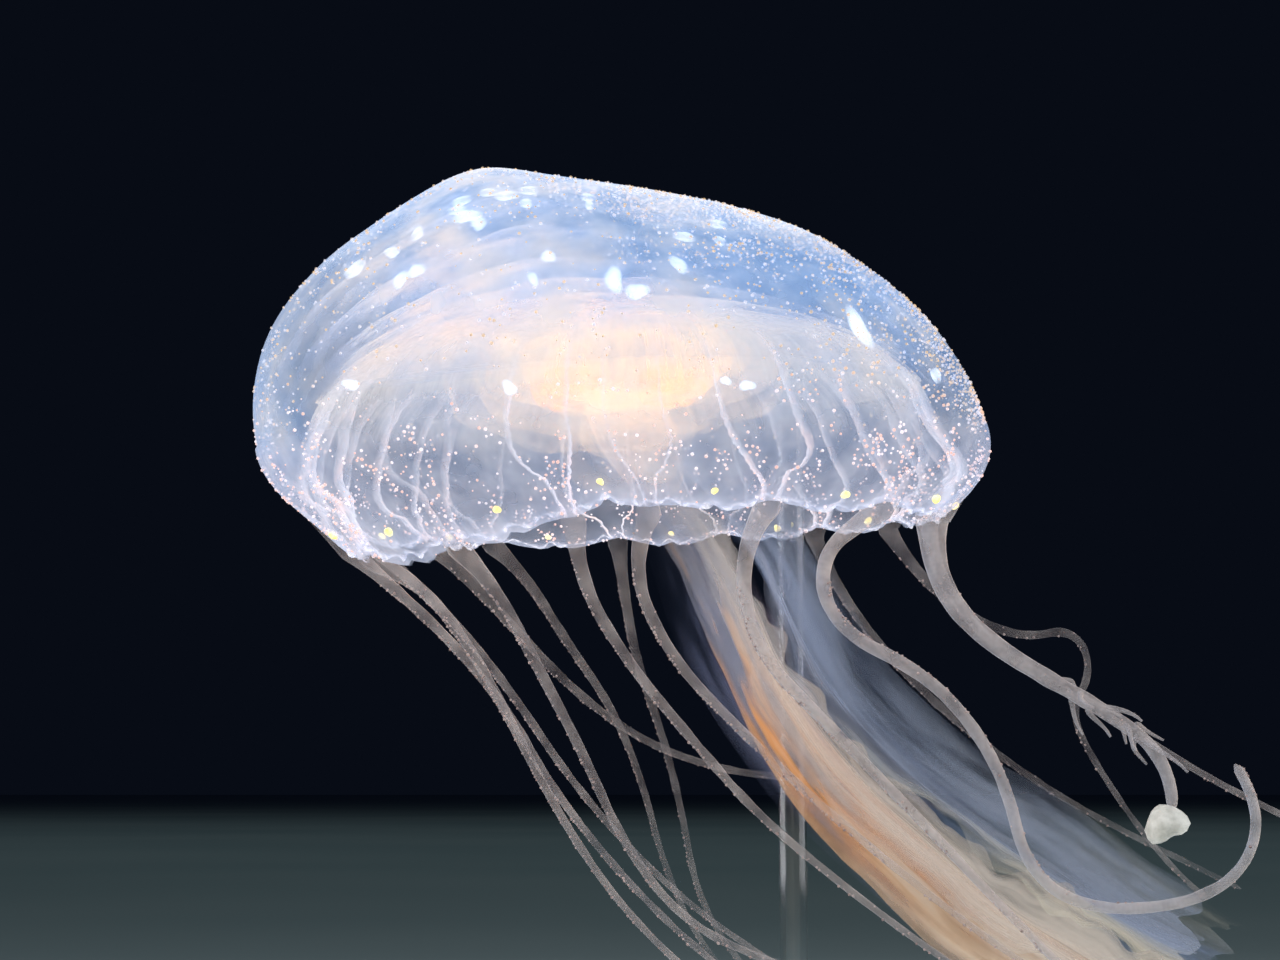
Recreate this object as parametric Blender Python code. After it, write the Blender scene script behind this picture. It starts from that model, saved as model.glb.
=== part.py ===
"""A life-size model of a drifting sea jelly (Sanderia malayensis) on a display stand.

Units are metres with +Z up. The origin is the middle of the stand's underside.
The bell is drawn in a frame of its own, level with its widest ring, and then leaned.
Tentacles and oral arms are swept along routes that a few compass headings steer.
"""

import math

import bpy
from mathutils import Matrix, Vector

MM = 0.001

# The bell, measured from the level of its widest ring.
BELL_RADIUS = 50 * MM
BELL_DEPTH_RATIO = 0.95
BELL_LEVEL = 105.5 * MM
BELL_LEAN = math.radians(-2.0)
BELL_NOD = math.radians(2.5)
DOME_HEIGHT = 36 * MM
DOME_POWER = 1.97
DOME_SLANT = 0.2
UNDERCUT_SLANT = (0.22, 0.12)
CROWN_SWELL = (-19 * MM, 2.4 * MM, 6.5 * MM, 15 * MM)
CROWN_DIP = (7 * MM, -1.8 * MM, 10 * MM, 16 * MM)
UNDERCUT = 20 * MM
ROOF_RADIUS = 43 * MM
ROOF_HEIGHT = 17 * MM
ROOF_POWER = 2.2

# The margin: a thin ring of lobes, one between each pair of tentacles.
PARTING = 7.5 * MM
GAP = 0.3 * MM
RIM_THICKNESS = 2.4 * MM
EDGE_THICKNESS = 1.2 * MM
NOTCH_ANGLE = math.radians(35)
LOBE_ANGLE = math.radians(41)
PLEAT_DEPTH = 1.2 * MM
DROOP = 4.5 * MM
DROOP_AZIMUTH = math.radians(-52)
DROOP_WIDTH = math.radians(26)

# Sixteen tentacles; azimuth 0 faces -Y and grows towards +X.
TENTACLE_COUNT = 16
FIRST_AZIMUTH = 5
ROOT_RADIUS = 1.15 * MM
TIP_RADIUS = 0.45 * MM
FUNNEL_FLARE = 0.6 * MM
FUNNEL_LENGTH = 3 * MM
TUBE_SIDES = 6
STATION_STEP = 6.5 * MM

# Each tentacle: headings in degrees from +X towards +Z, one every `step`,
# the sideways place its tip drifts to, and how far its root sits off the even spacing.
TENTACLES = {
    0: {"step": 12, "tip_y": -27, "nudge": -4,
        "headings": (-115, -66, -46, -43, -40, -38, -35, -33)},
    1: {"step": 12, "tip_y": -23, "nudge": -5, "root_radius": 1.4, "tip_radius": 0.6,
        "headings": (-125, -80, -45, -45, -46, -46, -44, -40)},
    2: {"step": 6, "tip_y": -23, "nudge": 0, "lengths": 3, "root_radius": 1.4, "tip_radius": 0.7,
        "headings": (-150, -140, -92, -50, -26, -34, -48, -58, -70, -78,
                     -52, -18, 0, 10, 28, 62, 100, 125)},
    3: {"step": 6, "tip_y": -7, "nudge": 4, "root_radius": 2.1, "tip_radius": 1.0,
        "headings": (-94, -80, -57, -40, -32, -30, -31, -36, -66, -95)},
    4: {"step": 12, "tip_y": 4, "nudge": 0,
        "headings": (-88, -56, -33, -31, -32, -27, -25, -28)},
    5: {"step": 6, "tip_y": 22, "nudge": 0,
        "headings": (-60, -52, -42, -30, -14, 14, -70, -120, -66, -58, -56, -52, -46, -40)},
    6: {"step": 12, "tip_y": 33, "nudge": 0,
        "headings": (-70, -56, -46, -40, -34, -28, -26, -26)},
    7: {"step": 12, "tip_y": 41, "nudge": 0,
        "headings": (-80, -68, -54, -46, -40, -34, -30)},
    8: {"step": 12, "tip_y": 46, "nudge": 0,
        "headings": (-84, -80, -70, -76, -80, -60, -38, -30)},
    9: {"step": 12, "tip_y": 39, "nudge": 6,
        "headings": (-42, -58, -55, -68, -76, -66, -50, -38)},
    10: {"step": 12, "tip_y": 33, "nudge": 0,
         "headings": (-42, -47, -46, -36, -20, -6, -6, -18, -28, -34)},
    11: {"step": 12, "tip_y": 12, "nudge": 0,
         "headings": (-42, -44, -52, -56, -50, -44, -36, -30)},
    12: {"step": 12, "tip_y": -9, "nudge": 0,
         "headings": (-40, -42, -50, -60, -52, -46, -40, -34, -28)},
    13: {"step": 12, "tip_y": -18, "nudge": 0,
         "headings": (-22, -52, -62, -62, -56, -46, -36, -28)},
    14: {"step": 12, "tip_y": -33, "nudge": 4,
         "headings": (-45, -62, -62, -66, -52, -24, -14, -24, -32)},
    15: {"step": 12, "tip_y": -31, "nudge": 5,
         "headings": (-88, -60, -50, -49, -40, -37, -34, -30)},
}

# What hangs from the roof.
STOMACH_RADIUS = 15 * MM
STOMACH_LOBE = 1.5 * MM
STOMACH_FLOOR = 9.5 * MM
GONAD_RING = 11.5 * MM
GONAD_RADIUS = 2.1 * MM
GONAD_SPAN = math.radians(62)
MANUBRIUM_RADIUS = 5.5 * MM
MANUBRIUM_CORNER = 0.25 * MM
MANUBRIUM_STEP = 6.5
MANUBRIUM_HEADINGS = (-90, -68, -42)

# Four oral arms: V-shaped ribbons set round one trailing axis.
ARM_STEP = 12
ARM_HEADINGS = (-42, -54, -64, -60, -48, -42, -37, -31, -26, -22, -20)
ARM_LENGTHS = (108, 114, 118, 102)
ARM_PIECES = ("upper", "middle", "lower")
ARM_SPINE = (1.8 * MM, 6.0 * MM)
ARM_REACH = (7.0 * MM, 14.0 * MM)
ARM_SPREAD = math.radians(29)
ARM_THICKNESS = 1.1 * MM
RUFFLE_SWING = math.radians(6)
RUFFLE_REACH = 1.0 * MM
RUFFLE_LENGTH = 15 * MM
ARM_STATION = 4.6 * MM

# The stand.
BASE_SIZE = (136 * MM, 96 * MM, 6 * MM)
BASE_CORNER = 12 * MM
BASE_EDGE = 0.8 * MM
ROD_PLACE = (24.5 * MM, 20 * MM)
ROD_RADIUS = 2 * MM
ROD_SIDES = 12

BELL_FRAME = (Matrix.Translation((0, 0, BELL_LEVEL))
              @ Matrix.Rotation(BELL_LEAN, 4, "Y")
              @ Matrix.Rotation(BELL_NOD, 4, "X"))


def clear_scene():
    for thing in list(bpy.data.objects):
        bpy.data.objects.remove(thing, do_unlink=True)


def make_material(name, color, roughness, alpha=1.0):
    material = bpy.data.materials.new(name)
    material.use_nodes = True
    shader = material.node_tree.nodes["Principled BSDF"]
    shader.inputs["Base Color"].default_value = (*color, 1.0)
    shader.inputs["Roughness"].default_value = roughness
    shader.inputs["Metallic"].default_value = 0.0
    shader.inputs["Alpha"].default_value = alpha
    return material


def make_object(name, points, faces, material, smooth_angle=50):
    mesh = bpy.data.meshes.new(name)
    mesh.from_pydata([tuple(point) for point in points], [], faces)
    mesh.materials.append(material)
    mesh.shade_smooth()
    mesh.set_sharp_from_angle(angle=math.radians(smooth_angle))
    mesh.validate()
    thing = bpy.data.objects.new(name, mesh)
    bpy.context.scene.collection.objects.link(thing)
    return thing


def blend(start, end, share):
    return start + (end - start) * share


def hill(offset, width):
    return math.exp(-(offset / width) ** 2 / 2)


# ---- rings and lofts -------------------------------------------------------

def loft(rings, closed_caps=True):
    """Join rings of equal count, each counter-clockwise seen from the first ring's outside."""
    count = len(rings[0])
    points = [point for ring in rings for point in ring]
    faces = []
    for row in range(len(rings) - 1):
        for side in range(count):
            after = (side + 1) % count
            low = row * count
            high = low + count
            faces.append((low + side, high + side, high + after, low + after))
    if closed_caps:
        faces.append(tuple(range(count)))
        last = (len(rings) - 1) * count
        faces.append(tuple(last + side for side in reversed(range(count))))
    return points, faces


def turned_shell(profile_rings, pole_first, pole_last):
    """Skin rings that run from one pole to the other, closing each end on its pole."""
    points, faces = loft(profile_rings, closed_caps=False)
    count = len(profile_rings[0])
    top = len(points)
    points += [pole_first, pole_last]
    last = (len(profile_rings) - 1) * count
    for side in range(count):
        after = (side + 1) % count
        faces.append((top, side, after))
        faces.append((top + 1, last + after, last + side))
    return points, faces


# ---- routes ----------------------------------------------------------------

def heading_route(start, headings, step, end_y):
    """Walk from start, turning evenly from each heading to the next, one per step.

    Returns points a quarter of a millimetre apart.
    """
    stride = 0.25 * MM
    total = step * (len(headings) - 1)
    walks = round(total / stride)
    points = [Vector(start)]
    for walk in range(walks):
        place = (walk + 0.5) / walks * (len(headings) - 1)
        leg = min(int(place), len(headings) - 2)
        heading = math.radians(blend(headings[leg], headings[leg + 1], place - leg))
        point = points[-1] + Vector((math.cos(heading), 0, math.sin(heading))) * stride
        share = (walk + 1) / walks
        point.y = blend(start[1], end_y, share * share * (3 - 2 * share))
        points.append(point)
    return points


def route_frame(route, distance):
    """The point, direction and two cross directions at a distance along a route."""
    stride = 0.25 * MM
    place = min(max(distance / stride, 0), len(route) - 1)
    low = min(int(place), len(route) - 2)
    point = route[low].lerp(route[low + 1], place - low)
    behind = route[max(low - 2, 0)]
    ahead = route[min(low + 3, len(route) - 1)]
    along = (ahead - behind).normalized()
    return point, along, *cross_directions(along)


def cross_directions(along):
    """Two directions square to a route's own, the second as near to +Y as it can be."""
    lift = along.cross(Vector((0, 1, 0))).normalized()
    return lift, lift.cross(along)


def route_length(route):
    return (len(route) - 1) * 0.25 * MM


def stations(start, end, spacing):
    count = max(2, round((end - start) / spacing) + 1)
    return [blend(start, end, index / (count - 1)) for index in range(count)]


# ---- bell ------------------------------------------------------------------

def tentacle_azimuth(index):
    turn = 360 / TENTACLE_COUNT
    nudge = TENTACLES[index % TENTACLE_COUNT]["nudge"]
    return math.radians(FIRST_AZIMUTH + turn * index + nudge)


def margin_azimuths(per_lobe):
    """Azimuths all round, with how far each lies from one tentacle (0) to the next (1)."""
    places = []
    for index in range(TENTACLE_COUNT):
        start = tentacle_azimuth(index)
        end = tentacle_azimuth(index + 1)
        if end < start:
            end += math.tau
        for part in range(per_lobe):
            share = part / per_lobe
            places.append((blend(start, end, share), share))
    return places


def bell_point(azimuth, radius, height):
    """A point of the bell's own frame, in the world."""
    middle, spread = UNDERCUT_SLANT
    slip = (middle + spread * math.sin(azimuth)) * min(height, 0)
    across = radius * math.sin(azimuth) - slip
    depth = -radius * math.cos(azimuth) * BELL_DEPTH_RATIO
    return BELL_FRAME @ Vector((across, depth, height))


def bell_down():
    return BELL_FRAME.to_3x3() @ Vector((0, 0, -1))


def dome_point(azimuth, tilt):
    """The outer dome: tilt 0 is the crown and a right angle the widest ring."""
    radius = BELL_RADIUS * math.sin(tilt) ** (2 / DOME_POWER)
    height = DOME_HEIGHT * math.cos(tilt) ** (2 / DOME_POWER) if tilt < math.pi / 2 else 0.0
    across = radius * math.sin(azimuth) - DOME_SLANT * height
    depth = -radius * math.cos(azimuth) * BELL_DEPTH_RATIO
    fade = math.cos(tilt) ** 0.5 if tilt < math.pi / 2 else 0.0
    for middle, lift, width, breadth in (CROWN_SWELL, CROWN_DIP):
        height += lift * hill(across - middle, width) * hill(depth, breadth) * fade
    return BELL_FRAME @ Vector((across, depth, height))


def undercut_radius(drop):
    return BELL_RADIUS * math.sqrt(1 - (drop / UNDERCUT) ** 2)


def roof_height(radius):
    return ROOF_HEIGHT * (1 - (radius / ROOF_RADIUS) ** ROOF_POWER) ** (1 / ROOF_POWER)


def make_bell():
    material = make_material("bell_jelly", (0.62, 0.68, 0.85), 0.25, alpha=0.5)
    azimuths = [azimuth for azimuth, share in margin_azimuths(3)]
    rim_drop = PARTING - GAP / 2
    rings = []
    dome_rings = 9
    for row in range(1, dome_rings + 1):
        tilt = math.pi / 2 * row / dome_rings
        rings.append([dome_point(azimuth, tilt) for azimuth in azimuths])
    for drop in (rim_drop * 0.5, rim_drop):
        rings.append([bell_point(azimuth, undercut_radius(drop), -drop) for azimuth in azimuths])
    inner_rim = undercut_radius(rim_drop) - RIM_THICKNESS
    for drop in (rim_drop, rim_drop * 0.5):
        radius = blend(ROOF_RADIUS, inner_rim, drop / rim_drop)
        rings.append([bell_point(azimuth, radius, -drop) for azimuth in azimuths])
    for share in (0.999, 0.96, 0.87, 0.73, 0.55, 0.34, 0.15):
        radius = ROOF_RADIUS * share
        rings.append([bell_point(azimuth, radius, roof_height(radius)) for azimuth in azimuths])
    crown = dome_point(0, 0)
    roof = bell_point(0, 0, ROOF_HEIGHT)
    points, faces = turned_shell(rings, crown, roof)
    make_object("bell", points, faces, material)


def margin_point(azimuth, share, down, inward):
    """The lobed margin: down runs 0 to 1 to its edge, and inward 0 to 1 through its wall."""
    lobe = math.sin(math.pi * share) ** 2
    start = math.asin((PARTING + GAP / 2) / UNDERCUT)
    edge = blend(NOTCH_ANGLE, LOBE_ANGLE, lobe ** 0.7)
    angle = blend(start, edge, down)
    radius = BELL_RADIUS * math.cos(angle)
    height = -UNDERCUT * math.sin(angle)
    radius -= PLEAT_DEPTH * (1 - lobe) ** 3 * down
    turn = (azimuth - DROOP_AZIMUTH + math.pi) % math.tau - math.pi
    height -= DROOP * hill(turn, DROOP_WIDTH) * down ** 1.6
    slope = Vector((math.cos(angle) / BELL_RADIUS, -math.sin(angle) / UNDERCUT)).normalized()
    wall = blend(RIM_THICKNESS, EDGE_THICKNESS, down)
    if down == 0:
        slope = Vector((1, 0))
    radius -= slope.x * wall * inward
    height -= slope.y * wall * inward
    return bell_point(azimuth, radius, height)


def make_margin():
    material = make_material("margin_lappets", (0.72, 0.68, 0.74), 0.3, alpha=0.7)
    places = margin_azimuths(6)
    rings = []
    for down in (0, 0.35, 0.7, 1):
        rings.append([margin_point(azimuth, share, down, 0) for azimuth, share in places])
    for down in (1, 0.6, 0):
        rings.append([margin_point(azimuth, share, down, 1) for azimuth, share in places])
    points, faces = loft(rings + rings[:1], closed_caps=False)
    count = len(places)
    total = count * len(rings)
    faces = [tuple(index % total for index in face) for face in faces]
    make_object("margin_lappets", points[:total], faces, material)


# ---- stomach, gonads, manubrium ---------------------------------------------

def make_stomach():
    material = make_material("stomach", (0.95, 0.72, 0.48), 0.4)
    sides = 32
    azimuths = [math.tau * side / sides for side in range(sides)]
    outlines = []
    for share in (0.35, 0.7, 0.93):
        outlines.append((share, None))
    outlines += [(1.0, 0.55), (0.9, 0.12), (0.6, 0.0)]
    rings = []
    for share, fall in outlines:
        ring = []
        for azimuth in azimuths:
            radius = (STOMACH_RADIUS + STOMACH_LOBE * math.cos(4 * azimuth)) * share
            top = roof_height(radius) - GAP
            height = top if fall is None else blend(STOMACH_FLOOR, top, fall)
            ring.append(bell_point(azimuth, radius, height))
        rings.append(ring)
    points, faces = turned_shell(rings, bell_point(0, 0, ROOF_HEIGHT - GAP),
                                 bell_point(0, 0, STOMACH_FLOOR))
    make_object("stomach", points, faces, material)


def make_gonad(number):
    """A crescent pouch under one quarter of the stomach, slimmer at its two ends."""
    material = make_material(f"gonad_{number}", (0.93, 0.62, 0.40), 0.45)
    middle = math.tau / 4 * (number - 0.5)
    height = STOMACH_FLOOR - GAP - GONAD_RADIUS
    sides = 8
    rings = []
    for share in (0, 0.12, 0.35, 0.65, 0.88, 1):
        azimuth = middle + GONAD_SPAN * (share - 0.5)
        girth = GONAD_RADIUS * (0.35 + 0.65 * math.sin(math.pi * share) ** 0.5)
        ring = []
        for side in range(sides):
            angle = math.tau * side / sides
            ring.append(bell_point(azimuth, GONAD_RING + girth * math.cos(angle),
                                   height + girth * math.sin(angle)))
        rings.append(ring)
    points, faces = loft(rings)
    make_object(f"gonad_{number}", points, faces, material)


def manubrium_route():
    start = bell_point(0, 0, STOMACH_FLOOR - GAP)
    return heading_route(start, MANUBRIUM_HEADINGS, MANUBRIUM_STEP * MM, start.y)


def make_manubrium():
    material = make_material("manubrium", (0.90, 0.74, 0.58), 0.4)
    route = manubrium_route()
    sides = 16
    rings = []
    spots = stations(0, route_length(route), 3.5 * MM)
    for spot in spots:
        point, along, lift, level = route_frame(route, spot)
        if spot == 0:
            lift, level = cross_directions(bell_down())
        ring = []
        for side in range(sides):
            angle = math.tau * side / sides
            girth = MANUBRIUM_RADIUS - MANUBRIUM_CORNER * math.cos(4 * angle)
            ring.append(point + (lift * math.cos(angle) + level * math.sin(angle)) * girth)
        rings.append(ring)
    points, faces = loft(rings)
    make_object("manubrium", points, faces, material)


# ---- oral arms ---------------------------------------------------------------

def arm_axis():
    throat = manubrium_route()
    point, along, lift, level = route_frame(throat, route_length(throat))
    start = point + along * GAP
    return heading_route(start, ARM_HEADINGS, ARM_STEP * MM, start.y)


def arm_section(route, number, spot):
    """One V-shaped cross-section: five middle points, given a wall and walked round."""
    point, along, lift, level = route_frame(route, spot)
    share = spot / route_length(route)
    quarter = math.tau / 4 * (number - 0.5)
    spine = blend(*ARM_SPINE, share)
    reach = blend(*ARM_REACH, min(1, share * 1.5)) * (1 - 0.45 * max(0, share - 0.6) / 0.4)
    wave = math.tau * spot / RUFFLE_LENGTH + number * 1.7
    middle = []
    for wing in (-1, -0.5, 0, 0.5, 1):
        flare = abs(wing)
        angle = quarter + math.copysign(ARM_SPREAD * flare ** 0.6, wing) * (flare > 0)
        angle += RUFFLE_SWING * flare * math.sin(wave + wing)
        radius = blend(spine, reach + RUFFLE_REACH * math.sin(wave * 1.3 + wing), flare)
        middle.append(Vector((radius * math.cos(angle), radius * math.sin(angle))))
    front = []
    back = []
    for index, spot_2d in enumerate(middle):
        before = middle[max(index - 1, 0)]
        after = middle[min(index + 1, len(middle) - 1)]
        across = (after - before).normalized()
        normal = Vector((-across.y, across.x)) * ARM_THICKNESS / 2
        front.append(spot_2d + normal)
        back.append(spot_2d - normal)
    outline = front + back[::-1]
    return [point + lift * corner.x + level * corner.y for corner in outline]


def ribbon_loft(sections):
    """Loft closed ribbon sections and cap the two ends with strips across the wall."""
    points, faces = loft(sections, closed_caps=False)
    count = len(sections[0])
    last = (len(sections) - 1) * count
    for index in range(count // 2 - 1):
        a, b = index, index + 1
        c, d = count - 2 - index, count - 1 - index
        faces.append((a, b, c, d))
        faces.append((last + d, last + c, last + b, last + a))
    return points, [face[::-1] for face in faces]


def make_oral_arm(number):
    material = make_material(f"oral_arm_{number}", (0.86, 0.70, 0.58), 0.45, alpha=0.9)
    route = arm_axis()
    total = ARM_LENGTHS[number - 1] * MM
    piece = total / len(ARM_PIECES)
    for index, part in enumerate(ARM_PIECES):
        start = index * piece + (GAP if index else 0)
        sections = [arm_section(route, number, spot)
                    for spot in stations(start, (index + 1) * piece, ARM_STATION)]
        points, faces = ribbon_loft(sections)
        make_object(f"oral_arm_{number}_{part}", points, faces, material)


# ---- tentacles ---------------------------------------------------------------

def tentacle_root(index):
    """A point just under the middle of the margin's notch."""
    azimuth = tentacle_azimuth(index)
    outer = margin_point(azimuth, 0, 1, 0)
    inner = margin_point(azimuth, 0, 1, 1)
    return (outer + inner) / 2 + bell_down() * (GAP + EDGE_THICKNESS)


def tentacle_route(index):
    plan = TENTACLES[index]
    return heading_route(tentacle_root(index), plan["headings"], plan["step"] * MM,
                         plan["tip_y"] * MM)


def tentacle_girth(index, spot, total):
    plan = TENTACLES[index]
    root = plan.get("root_radius", ROOT_RADIUS / MM) * MM
    tip = plan.get("tip_radius", TIP_RADIUS / MM) * MM
    flare = FUNNEL_FLARE * math.exp(-spot / FUNNEL_LENGTH)
    return blend(root, tip, (spot / total) ** 0.8) + flare


def tube_ring(route, spot, girth):
    """A ring square to the route, but level with the margin where the tentacle starts."""
    point, along, lift, level = route_frame(route, spot)
    if spot == 0:
        lift, level = cross_directions(bell_down())
    ring = []
    for side in range(TUBE_SIDES):
        angle = math.tau * side / TUBE_SIDES
        ring.append(point + (lift * math.cos(angle) + level * math.sin(angle)) * girth)
    return ring


def make_tentacle(index):
    material = make_material(f"tentacle_{index + 1:02d}", (0.62, 0.55, 0.53), 0.4, alpha=0.9)
    route = tentacle_route(index)
    total = route_length(route)
    pieces = {2: ("upper", "lower"), 3: ("upper", "middle", "lower")}[
        TENTACLES[index].get("lengths", 2)]
    piece = total / len(pieces)
    spacing = STATION_STEP if TENTACLES[index]["step"] > 6 else STATION_STEP * 0.6
    for order, part in enumerate(pieces):
        start = order * piece + (GAP if order else 0)
        rings = []
        for spot in stations(start, (order + 1) * piece, spacing):
            girth = tentacle_girth(index, spot, total)
            rings.append(tube_ring(route, spot, girth))
        points, faces = loft(rings)
        make_object(f"tentacle_{index + 1:02d}_{part}", points, faces, material)


# ---- stand -------------------------------------------------------------------

def rounded_outline(width, depth, corner, height):
    points = []
    for quarter in range(4):
        sign_x = 1 if quarter in (0, 3) else -1
        sign_y = 1 if quarter in (0, 1) else -1
        for part in range(5):
            angle = math.pi / 2 * (quarter + part / 4)
            points.append(Vector((sign_x * (width / 2 - corner) + corner * math.cos(angle),
                                  sign_y * (depth / 2 - corner) + corner * math.sin(angle),
                                  height)))
    return points


def make_stand_base():
    material = make_material("stand_base", (0.80, 0.82, 0.83), 0.2)
    width, depth, thickness = BASE_SIZE
    inset = 2 * BASE_EDGE
    rings = [rounded_outline(width - inset, depth - inset, BASE_CORNER - BASE_EDGE, 0),
             rounded_outline(width, depth, BASE_CORNER, BASE_EDGE),
             rounded_outline(width, depth, BASE_CORNER, thickness - BASE_EDGE),
             rounded_outline(width - inset, depth - inset, BASE_CORNER - BASE_EDGE, thickness)]
    points, faces = loft(rings)
    make_object("stand_base", points, [face[::-1] for face in faces], material, 25)


def make_stand_rod():
    """A round rod from the base to just under the bell's roof."""
    material = make_material("stand_rod", (0.85, 0.90, 0.92), 0.05, alpha=0.3)
    x, y = ROD_PLACE
    upright = BELL_FRAME.inverted()
    rings = []
    for end in range(2):
        ring = []
        for side in range(ROD_SIDES):
            angle = math.tau * side / ROD_SIDES
            corner = Vector((x + ROD_RADIUS * math.cos(angle), y + ROD_RADIUS * math.sin(angle),
                             BASE_SIZE[2] + GAP))
            if end:
                local = upright @ Vector((corner.x, corner.y, BELL_LEVEL))
                reach = math.hypot(local.x, local.y / BELL_DEPTH_RATIO) + ROD_RADIUS
                corner.z = (BELL_FRAME @ Vector((local.x, local.y, roof_height(reach)))).z - GAP
            ring.append(corner)
        rings.append(ring)
    points, faces = loft(rings)
    make_object("stand_rod", points, [face[::-1] for face in faces], material)


def main():
    clear_scene()
    make_bell()
    make_margin()
    make_stomach()
    make_manubrium()
    for number in range(1, 5):
        make_gonad(number)
        make_oral_arm(number)
    for index in range(TENTACLE_COUNT):
        make_tentacle(index)
    make_stand_base()
    make_stand_rod()


main()
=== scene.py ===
import math
from functools import partial

import bpy
from mathutils import Matrix, Vector, noise


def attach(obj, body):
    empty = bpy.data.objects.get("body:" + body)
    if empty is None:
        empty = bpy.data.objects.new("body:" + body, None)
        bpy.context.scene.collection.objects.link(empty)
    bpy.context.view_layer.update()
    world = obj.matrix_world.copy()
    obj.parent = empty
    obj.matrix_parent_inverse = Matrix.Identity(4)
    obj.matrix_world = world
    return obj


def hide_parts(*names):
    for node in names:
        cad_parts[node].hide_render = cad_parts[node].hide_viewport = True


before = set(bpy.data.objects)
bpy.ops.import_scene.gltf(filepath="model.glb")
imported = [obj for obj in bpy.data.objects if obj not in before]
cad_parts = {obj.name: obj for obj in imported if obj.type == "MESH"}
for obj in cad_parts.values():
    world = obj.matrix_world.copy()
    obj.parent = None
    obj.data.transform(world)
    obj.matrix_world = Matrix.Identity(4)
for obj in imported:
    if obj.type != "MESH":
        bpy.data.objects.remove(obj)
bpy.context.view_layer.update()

# A drifting sea jelly as a still museum model on a clear stand.
# Lengths below are in millimetres and become metres where a mesh is made.
scene = bpy.context.scene
mm = 0.001
fullTurn = 2 * math.pi


def linear(hexColour):  # sRGB hex to the linear colour that nodes take
    channels = [int(hexColour[at:at + 2], 16) / 255 for at in (1, 3, 5)]
    return tuple(c / 12.92 if c <= 0.04045 else ((c + 0.055) / 1.055) ** 2.4 for c in channels) + (1.0,)


def mix(start, end, share):
    return start + (end - start) * share


def hill(offset, width):
    return math.exp(-(offset / width) ** 2 / 2)


def sideHill(azimuth, middle, width):  # a hill round the bell, with its middle and width in degrees
    turn = (azimuth - math.radians(middle) + math.pi) % fullTurn - math.pi
    return hill(turn, math.radians(width))


def ease(value, low, high):  # smooth step, 0 at low and 1 at high
    share = min(max((value - low) / (high - low), 0.0), 1.0)
    return share * share * (3 - 2 * share)


def lumps(point, size, seed=0.0):  # smooth noise from -1 to 1 whose lumps are about `size` mm across
    return noise.noise(Vector(point) / size + Vector((seed, seed * 0.7, seed * 1.3)))


def addObject(name, data):
    thing = bpy.data.objects.new(name, data)
    scene.collection.objects.link(thing)
    return thing


def addMesh(name, points, edges, faces, values):
    # points are in metres; values are named numbers, one at each point, which a material or a node tree reads
    mesh = bpy.data.meshes.new(name)
    mesh.from_pydata(points, edges, faces)
    for label, numbers in values.items():
        mesh.attributes.new(label, "FLOAT", "POINT").data.foreach_set("value", numbers)
    return addObject(name, mesh)


def makePiece(name, points, faces, material, values=()):
    piece = addMesh(name, [tuple(value * mm for value in point) for point in points], [], faces, dict(values))
    piece.data.materials.append(material)
    piece.data.shade_smooth()
    return piece


def gridFaces(rows, columns, closed, first=0):
    faces = []
    for row in range(rows - 1):
        for column in range(columns if closed else columns - 1):
            after = (column + 1) % columns
            low = first + row * columns
            high = low + columns
            faces.append((low + column, high + column, high + after, low + after))
    return faces


def addFans(faces, columns, top):  # closes the first and last ring of a closed grid on points top and top + 1
    for column in range(columns):
        after = (column + 1) % columns
        faces.append((top, column, after))
        faces.append((top + 1, top - columns + after, top - columns + column))


def capEnds(faces, rows, sides):
    last = (rows - 1) * sides
    faces.append(tuple(range(sides)))
    faces.append(tuple(last + side for side in reversed(range(sides))))
    return faces


def addNode(tree, kind, inputs=(), out=0, stops=(), **settings):
    # inputs go by socket, or in order; stops are a ramp's places and colours;
    # what comes back is the output that others link to
    node = tree.nodes.new(kind)
    for name, value in settings.items():
        setattr(node, name, value)
    for socket, value in inputs.items() if isinstance(inputs, dict) else enumerate(inputs):
        if isinstance(value, bpy.types.NodeSocket):
            tree.links.new(value, node.inputs[socket])
        else:
            node.inputs[socket].default_value = value
    for extra in stops[2:]:
        node.color_ramp.elements.new(1.0)
    for order, (place, colour) in enumerate(stops):
        node.color_ramp.elements[order].position = place
        node.color_ramp.elements[order].color = linear(colour)
    return node.outputs[out] if len(node.outputs) else node


def newGeometryTree(name, inputs):
    tree = bpy.data.node_groups.new(name, "GeometryNodeTree")
    tree.interface.new_socket("Geometry", in_out="INPUT", socket_type="NodeSocketGeometry")
    for label, kind in inputs.items():
        tree.interface.new_socket(label, in_out="INPUT", socket_type="NodeSocket" + kind)
    tree.interface.new_socket("Geometry", in_out="OUTPUT", socket_type="NodeSocketGeometry")
    return tree, partial(addNode, tree), tree.nodes.new("NodeGroupInput").outputs


def applyModifiers(piece):
    graph = bpy.context.evaluated_depsgraph_get()
    mesh = bpy.data.meshes.new_from_object(piece.evaluated_get(graph), preserve_all_data_layers=True,
                                           depsgraph=graph)
    piece.modifiers.clear()
    piece.data = mesh
    mesh.name = piece.name
    return piece


def thicken(piece, wall):
    solid = piece.modifiers.new("wall", "SOLIDIFY")
    solid.thickness = wall * mm
    solid.offset = 0.0
    return applyModifiers(piece)


def runTree(piece, tree, values):
    modifier = piece.modifiers.new(tree.name, "NODES")
    modifier.node_group = tree
    for item in tree.interface.items_tree:
        if item.item_type == "SOCKET" and item.in_out == "INPUT" and item.name in values:
            modifier[item.identifier] = values[item.name]
    return applyModifiers(piece)


def setPlace(piece, slot, *nodes):
    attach(piece, "root")
    if nodes:
        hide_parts(*nodes)
    return piece


def setGlassy(piece, slot, *nodes):  # clear jelly dims the light so little that it throws no shadow
    piece.visible_shadow = False
    return setPlace(piece, slot, *nodes)


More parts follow.
